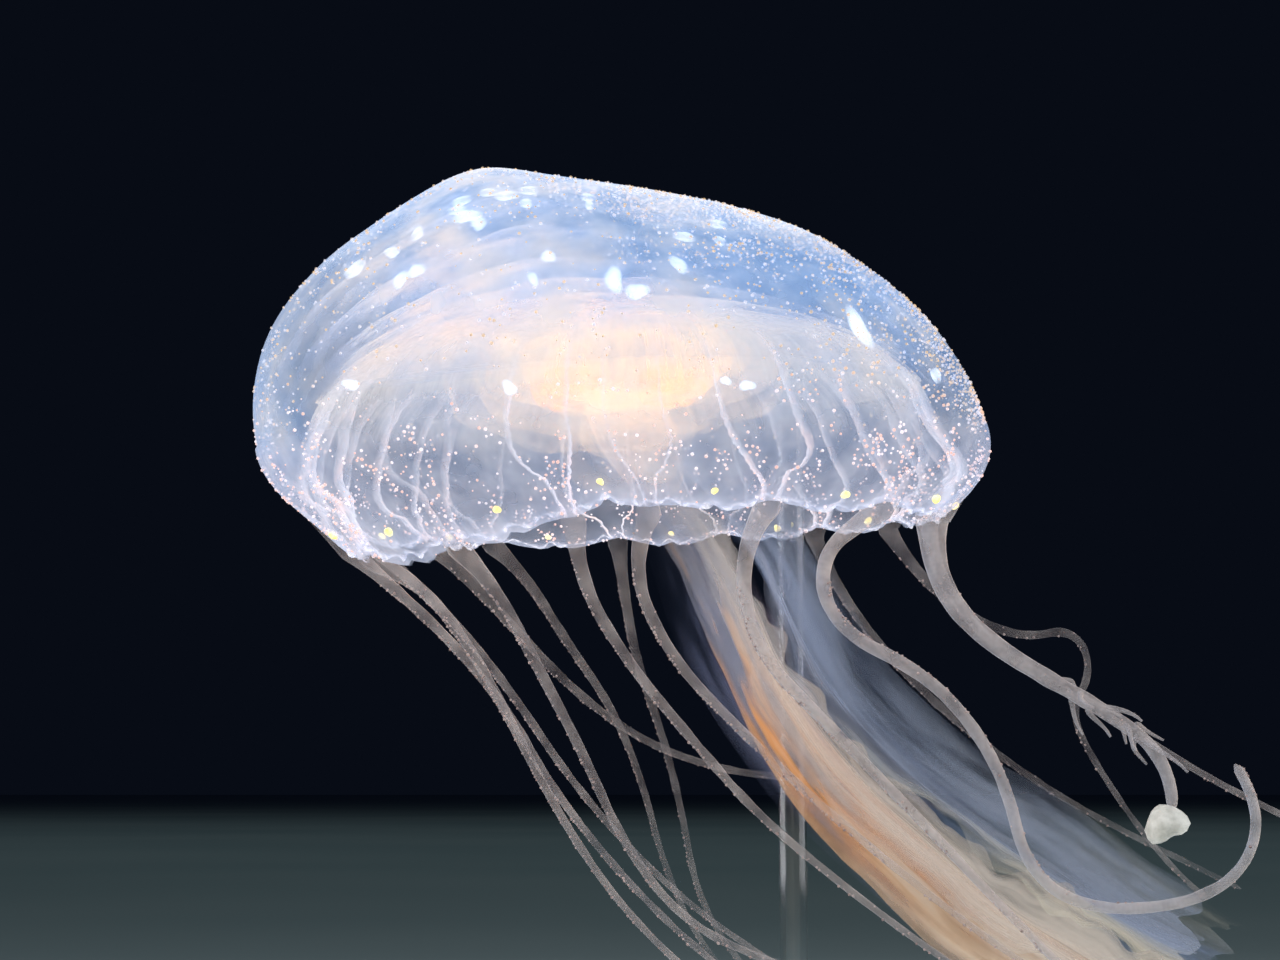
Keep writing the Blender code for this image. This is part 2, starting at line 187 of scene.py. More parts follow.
def newMaterial(name, *reads):
    # reads are "spot", the place on the object, and the names of values that the mesh holds
    material = bpy.data.materials.new(name)
    material.use_nodes = True
    material.node_tree.nodes.clear()
    add = partial(addNode, material.node_tree)
    found = [add("ShaderNodeTexCoord", out="Object") if read == "spot"
             else add("ShaderNodeAttribute", out="Fac", attribute_name=read) for read in reads]
    return material, add, *found


def seenOnEdge(add, blend, *span):  # clear tissue is whitest where it is seen on edge
    facing = add("ShaderNodeLayerWeight", {"Blend": blend}, out="Facing")
    return add("ShaderNodeMapRange", (facing, *span), interpolation_type="SMOOTHSTEP")


def finishJelly(material, colour, covers, roughness, through, glow=0.0, paintedGlowColour=None, normal=None):
    # the product of covers is how much of what lies behind is hidden, through the share of light let in
    # from behind, and the glow settings give the strength and colour of a painted glow, emission that stands
    # in for light scattered from within
    add = partial(addNode, material.node_tree)
    cover = covers[0]
    for order in range(1, len(covers)):
        cover = add("ShaderNodeMath", (cover, covers[order]), operation="MULTIPLY",
                        use_clamp=order == len(covers) - 1)
    surface = {"Base Color": colour, "Roughness": roughness, "IOR": 1.36, "Emission Strength": glow}
    # painted glow: the tissue is no lamp, so this emission is painted light
    if glow:
        surface["Emission Color"] = paintedGlowColour or colour
    behind = {"Color": colour}
    if normal:
        surface["Normal"] = normal
        behind["Normal"] = normal
    front = add("ShaderNodeBsdfPrincipled", surface)
    back = add("ShaderNodeBsdfTranslucent", behind)
    flesh = add("ShaderNodeMixShader", (through, front, back))
    clear = add("ShaderNodeBsdfTransparent")
    veil = add("ShaderNodeMixShader", (cover, clear, flesh))
    add("ShaderNodeOutputMaterial", {"Surface": veil})
    return material


def softTissue(name, size, detail, tones, span, fade=None, tint=None, edge=None, **finish):
    # patches of `size` mm take the tones, unless the value tint does, and span turns them into cover,
    # which is multiplied by the value fade and by the brightening at an edge
    labels = [label for label in (fade, tint) if label]
    material, add, spot, *found = newMaterial(name, "spot", *labels)
    patches = add("ShaderNodeTexNoise", {"Vector": spot, "Scale": 1 / (size * mm), "Detail": detail})
    colour = add("ShaderNodeValToRGB", (found[-1] if tint else patches,), stops=tones)
    covers = [found[0]] if fade else []
    if edge:
        covers.append(seenOnEdge(add, *edge))
    covers.append(add("ShaderNodeMapRange", (patches, *span)))
    return finishJelly(material, colour, covers, **finish)


def makeCamera():
    camera = addObject("camera", bpy.data.cameras.new("camera"))
    camera.location = (2.6 * mm, -340 * mm, 57.5 * mm)
    camera.rotation_euler = (math.radians(90 + 7.1), 0, 0)  # from low down, looking slightly up
    camera.data.lens = 70
    camera.data.sensor_width = 36
    camera.data.clip_start = 0.01
    scene.camera = camera


# place and target in metres, width, power in watts, colour
panels = {
    "keyPanel": ((-0.22, -0.16, 0.31), (0, 0, 0.115), 0.22, 0.58, "#F8F9FF"),
    "fillPanel": ((0.26, -0.18, 0.27), (0, 0, 0.115), 0.22, 0.66, "#F4F8FF"),
    "backPanel": ((-0.03, 0.22, 0.33), (0, 0, 0.115), 0.26, 0.46, "#F2F6FC"),
    "leftPanel": ((-0.34, -0.02, 0.13), (0, 0, 0.105), 0.20, 0.28, "#F6F2F4"),
    "rightPanel": ((0.34, -0.02, 0.13), (0, 0, 0.105), 0.20, 0.19, "#F0F2F8"),
    "lowPanel": ((-0.08, -0.24, 0.06), (0, 0, 0.09), 0.16, 0.15, "#FFEEDC"),
    "roomPanel": ((0.3, 1.6, 4.0), (0.3, 1.6, 0), 2.5, 18, "#D3E8EC"),
}


def makeLights():
    for name, (spot, target, width, power, colour) in panels.items():
        lamp = addObject(name, bpy.data.lights.new(name, "AREA"))
        lamp.data.energy = power
        lamp.data.size = width
        lamp.data.color = linear(colour)[:3]
        lamp.location = spot
        lamp.rotation_euler = (Vector(target) - lamp.location).to_track_quat("-Z", "Y").to_euler()
        lamp.visible_camera = False


room = {"air": "#080C15", "floor": ("#A9BDBF", "#BCCBCB"), "patches": 700, "reach": 30000}


def makeStage():
    # a plain pale floor in a dim room, faintly mottled
    scene.world = bpy.data.worlds.new("dimRoom")
    scene.world.use_nodes = True
    air = scene.world.node_tree.nodes["Background"].inputs
    air[0].default_value = linear(room["air"])
    air[1].default_value = 1.0
    material, add, spot = newMaterial("paleFloor", "spot")
    patches = add("ShaderNodeTexNoise", {
        "Vector": spot, "Scale": 1 / (room["patches"] * mm), "Detail": 2.0})
    tone = add("ShaderNodeValToRGB", (patches,), stops=tuple(zip((0.3, 0.7), room["floor"])))
    shader = add("ShaderNodeBsdfPrincipled", {"Base Color": tone, "Roughness": 0.75})
    add("ShaderNodeOutputMaterial", {"Surface": shader})
    corners = [(room["reach"] * x, room["reach"] * y, 0) for x, y in ((-1, -1), (1, -1), (1, 1), (-1, 1))]
    makePiece("floor", corners, [(0, 1, 2, 3)], material)


bell = {
    "radius": 50, "depthRatio": 0.95,          # half the width, and depth against width
    "level": 105.5, "lean": -2.0, "nod": 2.5,  # height of the widest ring; degrees
    "domeHeight": 36, "domePower": 1.97, "domeSlant": 0.2,
    "crownHills": ((-19, 2.9, 6.5, 15), (7, -1.8, 10, 16)),  # across, lift, width, breadth
    "undercut": 20, "undercutSlant": (0.22, 0.12),
    "roofRadius": 43, "roofHeight": 17, "roofPower": 2.2,
    "domeRows": 46, "wallRows": 38, "innerRows": 30, "roofRows": 24, "columnsPerGap": 24,
}
margin = {
    "parting": 7.65, "rimWall": 2.4, "edgeWall": 1.2,
    "notchAngle": 35, "lobeAngle": 41, "pleat": 1.2,
    "droop": 4.5, "droopAzimuth": -52, "droopWidth": 26,
    "cleft": 2.6, "cleftWidth": 0.05,          # degrees, and share of one gap
    "shortLobe": 8, "shortAzimuth": -6, "shortWidth": 11,  # degrees by which the lobes in front are shorter
    "fold": 0.5, "foldCount": 7, "foldReach": 0.16, "bulge": 0.5, "frill": 0.12, "frillCount": 9,
}
tentacleSet = {
    "count": 16, "firstAzimuth": 5, "nudge": 0,           # degrees
    "step": 12, "root": 1.02, "tip": 0.4, "taper": 0.45,  # length of one heading's leg, and half widths
    "flare": 0.6, "flareLength": 3, "uneven": 0.1,        # how much wider the root is, and how far down
    "beads": 1.0, "pale": 0.0,                            # shares
    "hidden": 5, "thinRoot": 0.45,                        # how far each runs up into the margin, and how thin
    "station": 0.8, "sides": 14,
}
# What sets each tentacle apart. Headings are in degrees from +X towards +Z, one at the end of each leg,
# and tipY is where the tip drifts to.
tentacles = {
    0: {"tipY": -27, "nudge": -4, "headings": (-115, -66, -46, -43, -40, -38, -35, -33)},
    1: {"tipY": -23, "nudge": -5, "root": 1.2, "tip": 0.5, "pale": 0.7,
        "headings": (-125, -80, -45, -45, -46, -46, -44, -40)},
    2: {"tipY": -23, "step": 6, "root": 1.1, "tip": 0.7, "pale": 1.0,
        "headings": (-150, -140, -92, -50, -26, -34, -48, -58, -70, -78, -52, -18, 0, 10, 28, 62, 100, 125)},
    3: {"tipY": -7, "nudge": 4, "step": 6, "root": 2.0, "tip": 0.85, "beads": 0.1, "pale": 0.8,
        "headings": (-94, -80, -57, -40, -32, -30, -31, -36, -66, -95)},
    4: {"tipY": 4, "headings": (-88, -56, -33, -31, -32, -27, -25, -28)},
    5: {"tipY": 22, "step": 6,
        "headings": (-60, -52, -42, -30, -14, 14, -70, -120, -66, -58, -56, -52, -46, -40)},
    6: {"tipY": 33, "headings": (-70, -56, -46, -40, -34, -28, -26, -26)},
    7: {"tipY": 41, "headings": (-80, -68, -54, -46, -40, -34, -30)},
    8: {"tipY": 46, "headings": (-84, -80, -70, -76, -80, -60, -38, -30)},
    9: {"tipY": 39, "nudge": 6, "headings": (-42, -58, -55, -68, -76, -66, -50, -38)},
    10: {"tipY": 33, "headings": (-42, -47, -46, -36, -20, -6, -6, -18, -28, -34)},
    11: {"tipY": 12, "headings": (-42, -44, -52, -56, -50, -44, -36, -30)},
    12: {"tipY": -9, "headings": (-40, -42, -50, -60, -52, -46, -40, -34, -28)},
    13: {"tipY": -18, "headings": (-22, -52, -62, -62, -56, -46, -36, -28)},
    14: {"tipY": -33, "nudge": 4, "headings": (-45, -62, -62, -66, -52, -24, -14, -24, -32)},
    15: {"tipY": -31, "nudge": 5, "headings": (-88, -60, -50, -49, -40, -37, -34, -30)},
}
bellFrame = (Matrix.Translation((0, 0, bell["level"])) @ Matrix.Rotation(math.radians(bell["lean"]), 4, "Y")
             @ Matrix.Rotation(math.radians(bell["nod"]), 4, "X"))
bellInverse = bellFrame.inverted()
bellDown = bellFrame.to_3x3() @ Vector((0, 0, -1))
stride = 0.25  # spacing of the points of a route


def planOf(index):  # one tentacle's own values over those that all share
    return {**tentacleSet, **tentacles[index % tentacleSet["count"]]}


def tentacleAzimuth(index):
    turn = 360 / tentacleSet["count"]
    return math.radians(tentacleSet["firstAzimuth"] + turn * index + planOf(index)["nudge"])


def azimuthAt(gap, share):  # share 0 is one tentacle and 1 the next
    return mix(tentacleAzimuth(gap), tentacleAzimuth(gap + 1), share)


def sideways(azimuth):
    return Vector((math.cos(azimuth), math.sin(azimuth), 0))


def bellPoint(azimuth, radius, height):
    middle, spread = bell["undercutSlant"]
    slip = (middle + spread * math.sin(azimuth)) * min(height, 0)
    across = radius * math.sin(azimuth) - slip
    return bellFrame @ Vector((across, -radius * math.cos(azimuth) * bell["depthRatio"], height))


def domePoint(azimuth, tilt, sink=0.0):  # tilt 0 is the crown, a right angle the widest ring
    radius = (bell["radius"] - sink) * math.sin(tilt) ** (2 / bell["domePower"])
    rise = max(math.cos(tilt), 0.0)
    height = (bell["domeHeight"] - sink) * rise ** (2 / bell["domePower"])
    across = radius * math.sin(azimuth) - bell["domeSlant"] * height
    depth = -radius * math.cos(azimuth) * bell["depthRatio"]
    for middle, lift, width, breadth in bell["crownHills"]:
        height += lift * hill(across - middle, width) * hill(depth, breadth) * rise ** 0.5
    return bellFrame @ Vector((across, depth, height))


def roofHeight(radius):
    share = min(radius / bell["roofRadius"], 1.0)
    return bell["roofHeight"] * (1 - share ** bell["roofPower"]) ** (1 / bell["roofPower"])


def wallPoint(azimuth, share, fall, inward):
    # fall runs 0 at the widest ring to 1 at the margin's edge; inward 0 is the outer face
    lobe = math.sin(math.pi * share) ** 2
    near = min(share, 1 - share)
    short = margin["shortLobe"] * sideHill(azimuth, margin["shortAzimuth"], margin["shortWidth"])
    edge = mix(margin["notchAngle"], margin["lobeAngle"] - short, lobe ** 0.7)
    edge = math.radians(edge - margin["cleft"] * hill(share - 0.5, margin["cleftWidth"]))
    start = math.asin(margin["parting"] / bell["undercut"])
    angle = edge * fall
    down = max((angle - start) / (edge - start), 0.0)
    radius = bell["radius"] * math.cos(angle)
    height = -bell["undercut"] * math.sin(angle)
    radius -= margin["pleat"] * (1 - lobe) ** 3 * down
    fold = -margin["fold"] * math.cos(near * fullTurn * margin["foldCount"])
    bulge = margin["bulge"] * (math.sin(fullTurn * share) ** 2 - 0.6)
    radius += (fold * hill(near, margin["foldReach"]) + bulge) * ease(fall, 0.3, 1.0)
    frill = math.sin(fullTurn * share * margin["frillCount"] + 3 * math.sin(azimuth * 5))
    radius += margin["frill"] * frill * fall ** 6
    height -= margin["droop"] * sideHill(azimuth, margin["droopAzimuth"], margin["droopWidth"]) * down ** 1.6
    if inward:
        normal = Vector((math.cos(angle) / bell["radius"], -math.sin(angle) / bell["undercut"])).normalized()
        slope = Vector((1, 0)).lerp(normal, min(down / 0.6, 1.0)).normalized()
        wall = mix(margin["rimWall"], margin["edgeWall"], down)
        level = bell["radius"] - bell["roofRadius"]
        wall = mix(level, wall, ease(angle / start, 0.0, 1.0) if angle < start else 1.0)
        radius -= slope.x * wall * inward
        height -= slope.y * wall * inward
    return bellPoint(azimuth, radius, height)


def septumShare(side, fall):  # where a radial membrane lies between two tentacles
    share = mix(0.27, 0.055, ease(fall, 0.25, 1.0))
    return share if side == 0 else 1 - share


def headingRoute(start, headings, step, endY):
    walks = round(step * (len(headings) - 1) / stride)
    points = [Vector(start)]
    for walk in range(walks):
        at = (walk + 0.5) / walks * (len(headings) - 1)
        leg = min(int(at), len(headings) - 2)
        heading = math.radians(mix(headings[leg], headings[leg + 1], at - leg))
        point = points[-1] + Vector((math.cos(heading), 0, math.sin(heading))) * stride
        point.y = mix(start[1], endY, ease(walk + 1, 0, walks))
        points.append(point)
    return points


def routeLength(route):
    return (len(route) - 1) * stride


def routeFrame(route, distance):
    at = min(max(distance / stride, 0), len(route) - 1)
    low = min(int(at), len(route) - 2)
    along = (route[min(low + 3, len(route) - 1)] - route[max(low - 2, 0)]).normalized()
    lift = along.cross(Vector((0, 1, 0))).normalized()
    return route[low].lerp(route[low + 1], at - low), along, lift, lift.cross(along)


def clearJelly():
    # Mesoglea, the clear jelly of the bell: wet and glassy, blue where it is deep, milky in clouds, with a
    # painted blue-white glow
    material, add, spot, cloudy, skirt, cover = newMaterial(
        "mesogleaJelly", "spot", "cloudy", "skirt", "cover")
    wisps = add("ShaderNodeTexNoise", {"Vector": spot, "Scale": 1 / (5 * mm), "Detail": 2.0})
    rim = seenOnEdge(add, 0.35, 0.25, 0.8, 0.0, 0.1)
    drift = add("ShaderNodeMapRange", (wisps, 0.3, 0.7, -0.3, 0.3))
    milk = add("ShaderNodeMath", (cloudy, drift), operation="ADD")
    milk = add("ShaderNodeMath", (milk, rim), operation="ADD", use_clamp=True)
    crown = add("ShaderNodeValToRGB", (milk,),
                    stops=((0.0, "#98C0F8"), (0.45, "#C0D6F6"), (1.0, "#E2E6F0")))
    # painted glow colour: blue over the crown, greyer in its clouds, and a darker grey-blue on the skirt
    shine = add("ShaderNodeValToRGB", (milk,),
                    stops=((0.0, "#A4CAFC"), (0.45, "#BCD0F2"), (1.0, "#A4AEC4")))
    paintedGlowColour = add("ShaderNodeMix", {0: skirt, 6: shine, 7: linear("#8A94B2")}, out=2, data_type="RGBA")
    wall = add("ShaderNodeValToRGB", (wisps,), stops=((0.35, "#C2CCE6"), (0.65, "#DCDFEE")))
    colour = add("ShaderNodeMix", {0: skirt, 6: crown, 7: wall}, out=2, data_type="RGBA")
    uneven = add("ShaderNodeMapRange", (wisps, 0.3, 0.7, 0.75, 1.25))
    cover = add("ShaderNodeMath", (cover, uneven), operation="MULTIPLY")
    cover = add("ShaderNodeMath", (cover, rim), operation="ADD", use_clamp=True)
    grain = add("ShaderNodeTexNoise", {"Vector": spot, "Scale": 1 / (2.2 * mm), "Detail": 0.0})
    ripples = add("ShaderNodeBump", {"Strength": 0.3, "Distance": 0.4 * mm, "Height": grain})
    return finishJelly(material, colour, [cover], 0.22, 0.4, glow=0.6, paintedGlowColour=paintedGlowColour, normal=ripples)


def muscleSheet():
    # The under-bell: a milky muscle sheet over the roof, thinning to a clear wall with radial fibres
    material, add, spot, tone, cover = newMaterial("subumbrellaMuscle", "spot", "tone", "cover")
    flat = add("ShaderNodeVectorMath", (spot, (1.0, 1.0, 0.0)), operation="MULTIPLY")
    spoke = add("ShaderNodeVectorMath", (flat,), operation="NORMALIZE")
    fibres = add("ShaderNodeTexNoise", {  # 1.6 mm apart at the rim
        "Vector": spoke, "Scale": 28.0, "Detail": 3.0, "Roughness": 0.65})
    clouds = add("ShaderNodeTexNoise", {"Vector": spot, "Scale": 1 / (8 * mm), "Detail": 1.0})
    streaks = add("ShaderNodeMath", (fibres, clouds), operation="ADD")
    uneven = add("ShaderNodeMapRange", (streaks, 0.75, 1.3, 0.55, 1.5))
    colour = add("ShaderNodeValToRGB", (tone,),
                     stops=((0.0, "#BEC6DA"), (0.5, "#E0DBD6"), (0.8, "#F2E2C8"), (1.0, "#FFE0B4")))
    # painted glow colour: near black over the clear wall, rising to bright cream over the core, as painted
    # light round the core
    paintedGlowColour = add("ShaderNodeValToRGB", (tone,),
                  stops=((0.0, "#26272C"), (0.5, "#4A443E"), (0.8, "#D8BFA0"), (1.0, "#FFDDA8")))
    return finishJelly(material, colour, [cover, uneven], 0.35, 0.5, glow=0.36, paintedGlowColour=paintedGlowColour)


def milkyJelly():
    # Milk within the clear jelly: drifting wisps over the roof and one peach-white bank, with a faint painted
    # glow
    return softTissue("milkyMesoglea", 5, 2.0, ((0.0, "#B8CAF0"), (0.4, "#DEDCDE"), (1.0, "#F4DFC8")),
                      (0.36, 0.66, 0.25, 1.6), "cover", "warmth", (0.3, 0.4, 0.85, 1.0, 3.0),
                      roughness=0.6, through=0.5, glow=0.04)


def septumMembrane():
    # Radial membranes: thin white walls, flecked with pink, that read as bright lines when seen on edge, with
    # a painted glow
    return softTissue("septumMembrane", 2.5, 3.0, ((0.45, "#F6F5FC"), (0.68, "#F8DED6")),
                      (0.3, 0.65, 0.35, 0.95), "fade", roughness=0.4, through=0.4, glow=0.3)


def lappetHem():
    # Lappet edge: a curled lace of clear skin, whitest along its free edge, with a painted glow
    material, add, spot, fade = newMaterial("lappetHem", "spot", "fade")
    lace = add("ShaderNodeTexVoronoi", {"Vector": spot, "Scale": 1 / (1.7 * mm)},
                   feature="DISTANCE_TO_EDGE")
    threads = add("ShaderNodeMapRange", (lace, 0.0, 0.28, 1.0, 0.35))
    colour = add("ShaderNodeValToRGB", (lace,), stops=((0.0, "#FAF8FC"), (0.3, "#D6D8EA")))
    return finishJelly(material, colour, [fade, threads], 0.3, 0.4, glow=0.22)


def wartFinish():
    # Stinging warts: tiny pearly beads, yellowish on the crown and pinker on the skirt, with a painted glow
    material, add, spot = newMaterial("nematocystWart", "spot")
    height = add("ShaderNodeSeparateXYZ", (spot,), out=2)
    lower = add("ShaderNodeMapRange", (height, 0.112, 0.104))
    patches = add("ShaderNodeTexNoise", {"Vector": spot, "Scale": 1 / (1.5 * mm), "Detail": 1.0})
    crown = add("ShaderNodeValToRGB", (patches,), stops=((0.4, "#ECE8EE"), (0.55, "#EAC898")))
    skirt = add("ShaderNodeValToRGB", (patches,), stops=((0.42, "#FBEFEE"), (0.6, "#F6CFC2")))
    colour = add("ShaderNodeMix", {0: lower, 6: crown, 7: skirt}, out=2, data_type="RGBA")
    cover = add("ShaderNodeMapRange", {0: lower, 3: 0.5, 4: 0.75})
    return finishJelly(material, colour, [cover], 0.35, 0.3, glow=0.3)


def eyeFinish():
    # Rhopalium: the bright yellow sense bead in each cleft of the margin, with a painted glow
    return softTissue("rhopaliumCrystal", 0.8, 1.0, ((0.4, "#FFF9C4"), (0.7, "#FFE88C")),
                      (0.0, 1.0, 0.95, 0.95), roughness=0.3, through=0.3, glow=0.55)


def paintedHighlightFinish():
    # White flecks: painted highlights, soft white spots with a strong painted glow just under the skin of the
    # crown, thin at their edges
    return softTissue("paintedHighlightFleck", 1.2, 2.0, ((0.4, "#F8FCFF"), (0.7, "#DCEBFF")),
                      (0.0, 1.0, 0.75, 0.75), "fade", roughness=0.5, through=0.3, glow=0.8)


# what the bell's skin hides; pools and hollow are hills in its own frame: across, width, up and height
skin = {
    "cloudSize": 13, "curdSize": 5,
    "pools": ((24, 11, 21, 7, 1.0), (-1, 7, 28, 5, 0.8), (-42, 5, 15, 9, 0.7)),  # clear blue, with strength
    "hollow": (-38, 8, 13, 9), "hollowCloud": 0.75, "hollowThin": 0.5,  # thin but cloudy, at the left
    "crown": (0.4, 0.56), "shoulder": 0.4,  # clear and cloudy, and the share that is left lower down
    "wall": (0.38, 0.26), "hem": 0.2, "rimBand": 0.22,  # in front and behind, and what the edges add
    "under": (0.06, 0.44), "underCore": 0.25, "underHem": 0.06,  # the inside of the wall and of the roof
}
# least density, then what a side, patches and a crest add on the crown, and clusters and lines on the skirt
wart = {"spacing": 0.5, "most": 1.9, "smallest": 0.09, "largest": 0.27, "seed": 11,
        "crown": (0.03, 0.07, 0.4, 0.8), "skirt": (0.06, 0.9, 0.7)}


def clearPool(point):  # 1 in the clear blue pools of the crown, 0 in its milky parts
    local = bellInverse @ Vector(point)
    pools = [strength * (hill(local.x - across, width) * hill(local.z - up, height))
             for across, width, up, height, strength in skin["pools"]]
    return min(1.0, sum(pools))


def bankAt(point):  # the peach-white bank of milk over the left half of the roof
    local = bellInverse @ Vector(point)
    return hill(local.x + 21, 10) * hill(local.y + 12, 20) * hill(local.z - 19, 7)


def crownWarts(share, point, fall):  # in loose patches, most of them on the right, and along the crest
    least, sides, patches, crests = wart["crown"]
    side = 0.35 + 0.65 * ease(point.x, -25, 20)
    patch = ease(lumps(point, 9, 3.0), -0.15, 0.4)
    crest = hill(point.y + 1, 5) * ease(point.x, -18, 2)
    return min(1.0, least + sides * side + patches * side * patch + crests * crest)


def skirtWarts(share, point, fall):  # in streaks beside the membranes and in clusters between them
    least, inClusters, inLines = wart["skirt"]
    toLine = min(abs(share - septumShare(0, fall)), abs(share - septumShare(1, fall)))
    clusters = ease(lumps(point, 5, 9.0), 0.05, 0.55)
    return min(1.0, least + inClusters * clusters + inLines * hill(toLine, 0.03)) * ease(fall, 0.02, 0.2)


def makeUmbrella(jelly, muscle):
    columns = []
    for gap in range(tentacleSet["count"]):
        for part in range(bell["columnsPerGap"]):
            share = part / bell["columnsPerGap"]
            columns.append((azimuthAt(gap, share), share))
    count = len(columns)
    points, rowIsInner = [], []
    values = {"cloudy": [], "skirt": [], "cover": [], "tone": [], "wartDensity": []}

    def addPoint(point, fall, inner, warts):
        local = bellInverse @ point
        cloudy = lumps(point, skin["cloudSize"], 1.0) + 0.5 * lumps(point, skin["curdSize"], 4.0)
        across, width, up, height = skin["hollow"]
        hollow = hill(local.x - across, width) * hill(local.z - up, height)
        cloudy = ease(cloudy, -0.25, 0.5) * (1 - 0.85 * clearPool(point))
        cloudy = max(cloudy, skin["hollowCloud"] * hollow)
        skirt = ease(local.z, 3, -4)
        hemShare = ease(fall, 0.82, 1.0)
        milky = ease(local.z, 0, 5)
        core = ease(math.hypot(local.x, local.y), 27, 8) * milky
        if inner:
            cover = mix(*skin["under"], milky) + skin["underCore"] * core + skin["underHem"] * hemShare
        else:
            crown = mix(*skin["crown"], cloudy) * mix(skin["shoulder"], 1.0, ease(local.z, 7, 17))
            crown *= 1 - skin["hollowThin"] * hollow
            wall = mix(*skin["wall"], ease(local.y, -20, 20))
            rimBand = ease(-local.x, 40, 48) * ease(local.z, 16, 6)
            cover = mix(crown, wall, skirt) + skin["hem"] * hemShare + skin["rimBand"] * rimBand
        points.append(point)
        found = (cloudy, skirt, cover, 0.5 * milky + 0.5 * core, warts)
        for label, value in zip(values, found):
            values[label].append(value)

    def addRow(makePoint, inner, warts=None, fall=0.0):
        rowIsInner.append(inner)
        for azimuth, share in columns:
            point = makePoint(azimuth, share)
            addPoint(point, fall, inner, 0.0 if inner else warts(share, point, fall))

    for row in range(1, bell["domeRows"] + 1):
        tilt = math.pi / 2 * row / bell["domeRows"]
        wave = ease(row, 4, 20) * 0.25

        def wavyDome(azimuth, share):
            return domePoint(azimuth, tilt, wave * (1 + lumps(domePoint(azimuth, tilt), 11)))

        addRow(wavyDome, False, crownWarts)
    for row in range(1, bell["wallRows"] + 1):
        fall = row / bell["wallRows"]
        addRow(lambda azimuth, share: wallPoint(azimuth, share, fall, 0.0), False, skirtWarts, fall)
    addRow(lambda azimuth, share: wallPoint(azimuth, share, 1.01, 0.5) + bellDown * 0.35, True, fall=1.0)
    for row in range(bell["innerRows"] + 1):
        fall = 1 - row / bell["innerRows"]
        addRow(lambda azimuth, share: wallPoint(azimuth, share, fall, 1.0), True, fall=fall)
    for row in range(1, bell["roofRows"]):
        radius = bell["roofRadius"] * math.cos(math.pi / 2 * row / bell["roofRows"]) ** 0.8
        addRow(lambda azimuth, share: bellPoint(azimuth, radius, roofHeight(radius)), True)
    faces = gridFaces(len(rowIsInner), count, True)
    inners = [rowIsInner[index // count + 1] for index in range(len(faces))] + [False, True] * count
    addFans(faces, count, len(points))
    addPoint(domePoint(0, 0), 0.0, False, 0.3)
    addPoint(bellPoint(0, 0, bell["roofHeight"]), 0.0, True, 0.0)
    umbrella = makePiece("umbrella", points, faces, jelly, values)
    umbrella.data.materials.append(muscle)
    umbrella.data.polygons.foreach_set("material_index", [int(inner) for inner in inners])
    return umbrella


# each layer is a closed lens between two levels, where 0 is the roof and 1 the dome
milk = {"layers": ((0.03, 0.12), (0.24, 0.38), (0.60, 0.80)), "rows": 34, "columns": 96,
        "reach": 0.97, "waviness": 0.03, "roofMilk": 0.28, "bankMilk": 0.5, "thinMilk": 0.07}


def makeMilk(number, material):
    low, high = milk["layers"][number]
    points, values = [], {"cover": [], "warmth": []}

    def addPoint(share, azimuth, level):
        radius = bell["roofRadius"] * share
        lower = bellPoint(azimuth, radius, roofHeight(radius))
        upper = domePoint(azimuth, math.pi / 2 * share)
        wave = milk["waviness"] * lumps(lower.lerp(upper, level), 8, number)
        point = lower.lerp(upper, level + wave)
        bank = bankAt(point) * (0.55 + 0.75 * ease(lumps(point, 7, 5.0), -0.3, 0.3))
        patches = ease(lumps(point, 10, 2.0), -0.45, 0.4)
        cover = milk["roofMilk"] * ease(level, 0.38, 0.0) * (0.4 + 0.6 * patches)
        cover += milk["bankMilk"] * bank + milk["thinMilk"] * patches * (1 - clearPool(point))
        cover *= 1 - 0.5 * ease(share, 0.72, 0.9)
        points.append(point)
        values["cover"].append(cover * (1 - ease(share, 0.94, milk["reach"])))
        values["warmth"].append(min(1.0, bank + 0.75 * ease(level, 0.4, 0.0)))

    rows, columns = milk["rows"], milk["columns"]
    for level in (high, low):
        for row in range(1, rows):
            share = milk["reach"] * (row if level == high else rows - row) / rows
            for column in range(columns):
                addPoint(share, fullTurn * column / columns, level)
    faces = gridFaces(2 * (rows - 1), columns, True)
    addFans(faces, columns, len(points))
    addPoint(0, 0, high)
    addPoint(0, 0, low)
    return makePiece(f"jelly_milk_{number + 1}", points, faces, material, values)


# in each gap two membranes run from the roof to the margin; turn is the share of the way at the roof's edge
septum = {"depth": 1.3, "edgeDepth": 0.9, "roofStart": 0.6, "turn": 0.4, "strength": (0.45, 1.2),
          "rows": 90, "columns": 6, "ruffle": 0.08, "ruffleLength": 2.3, "wall": 0.22}


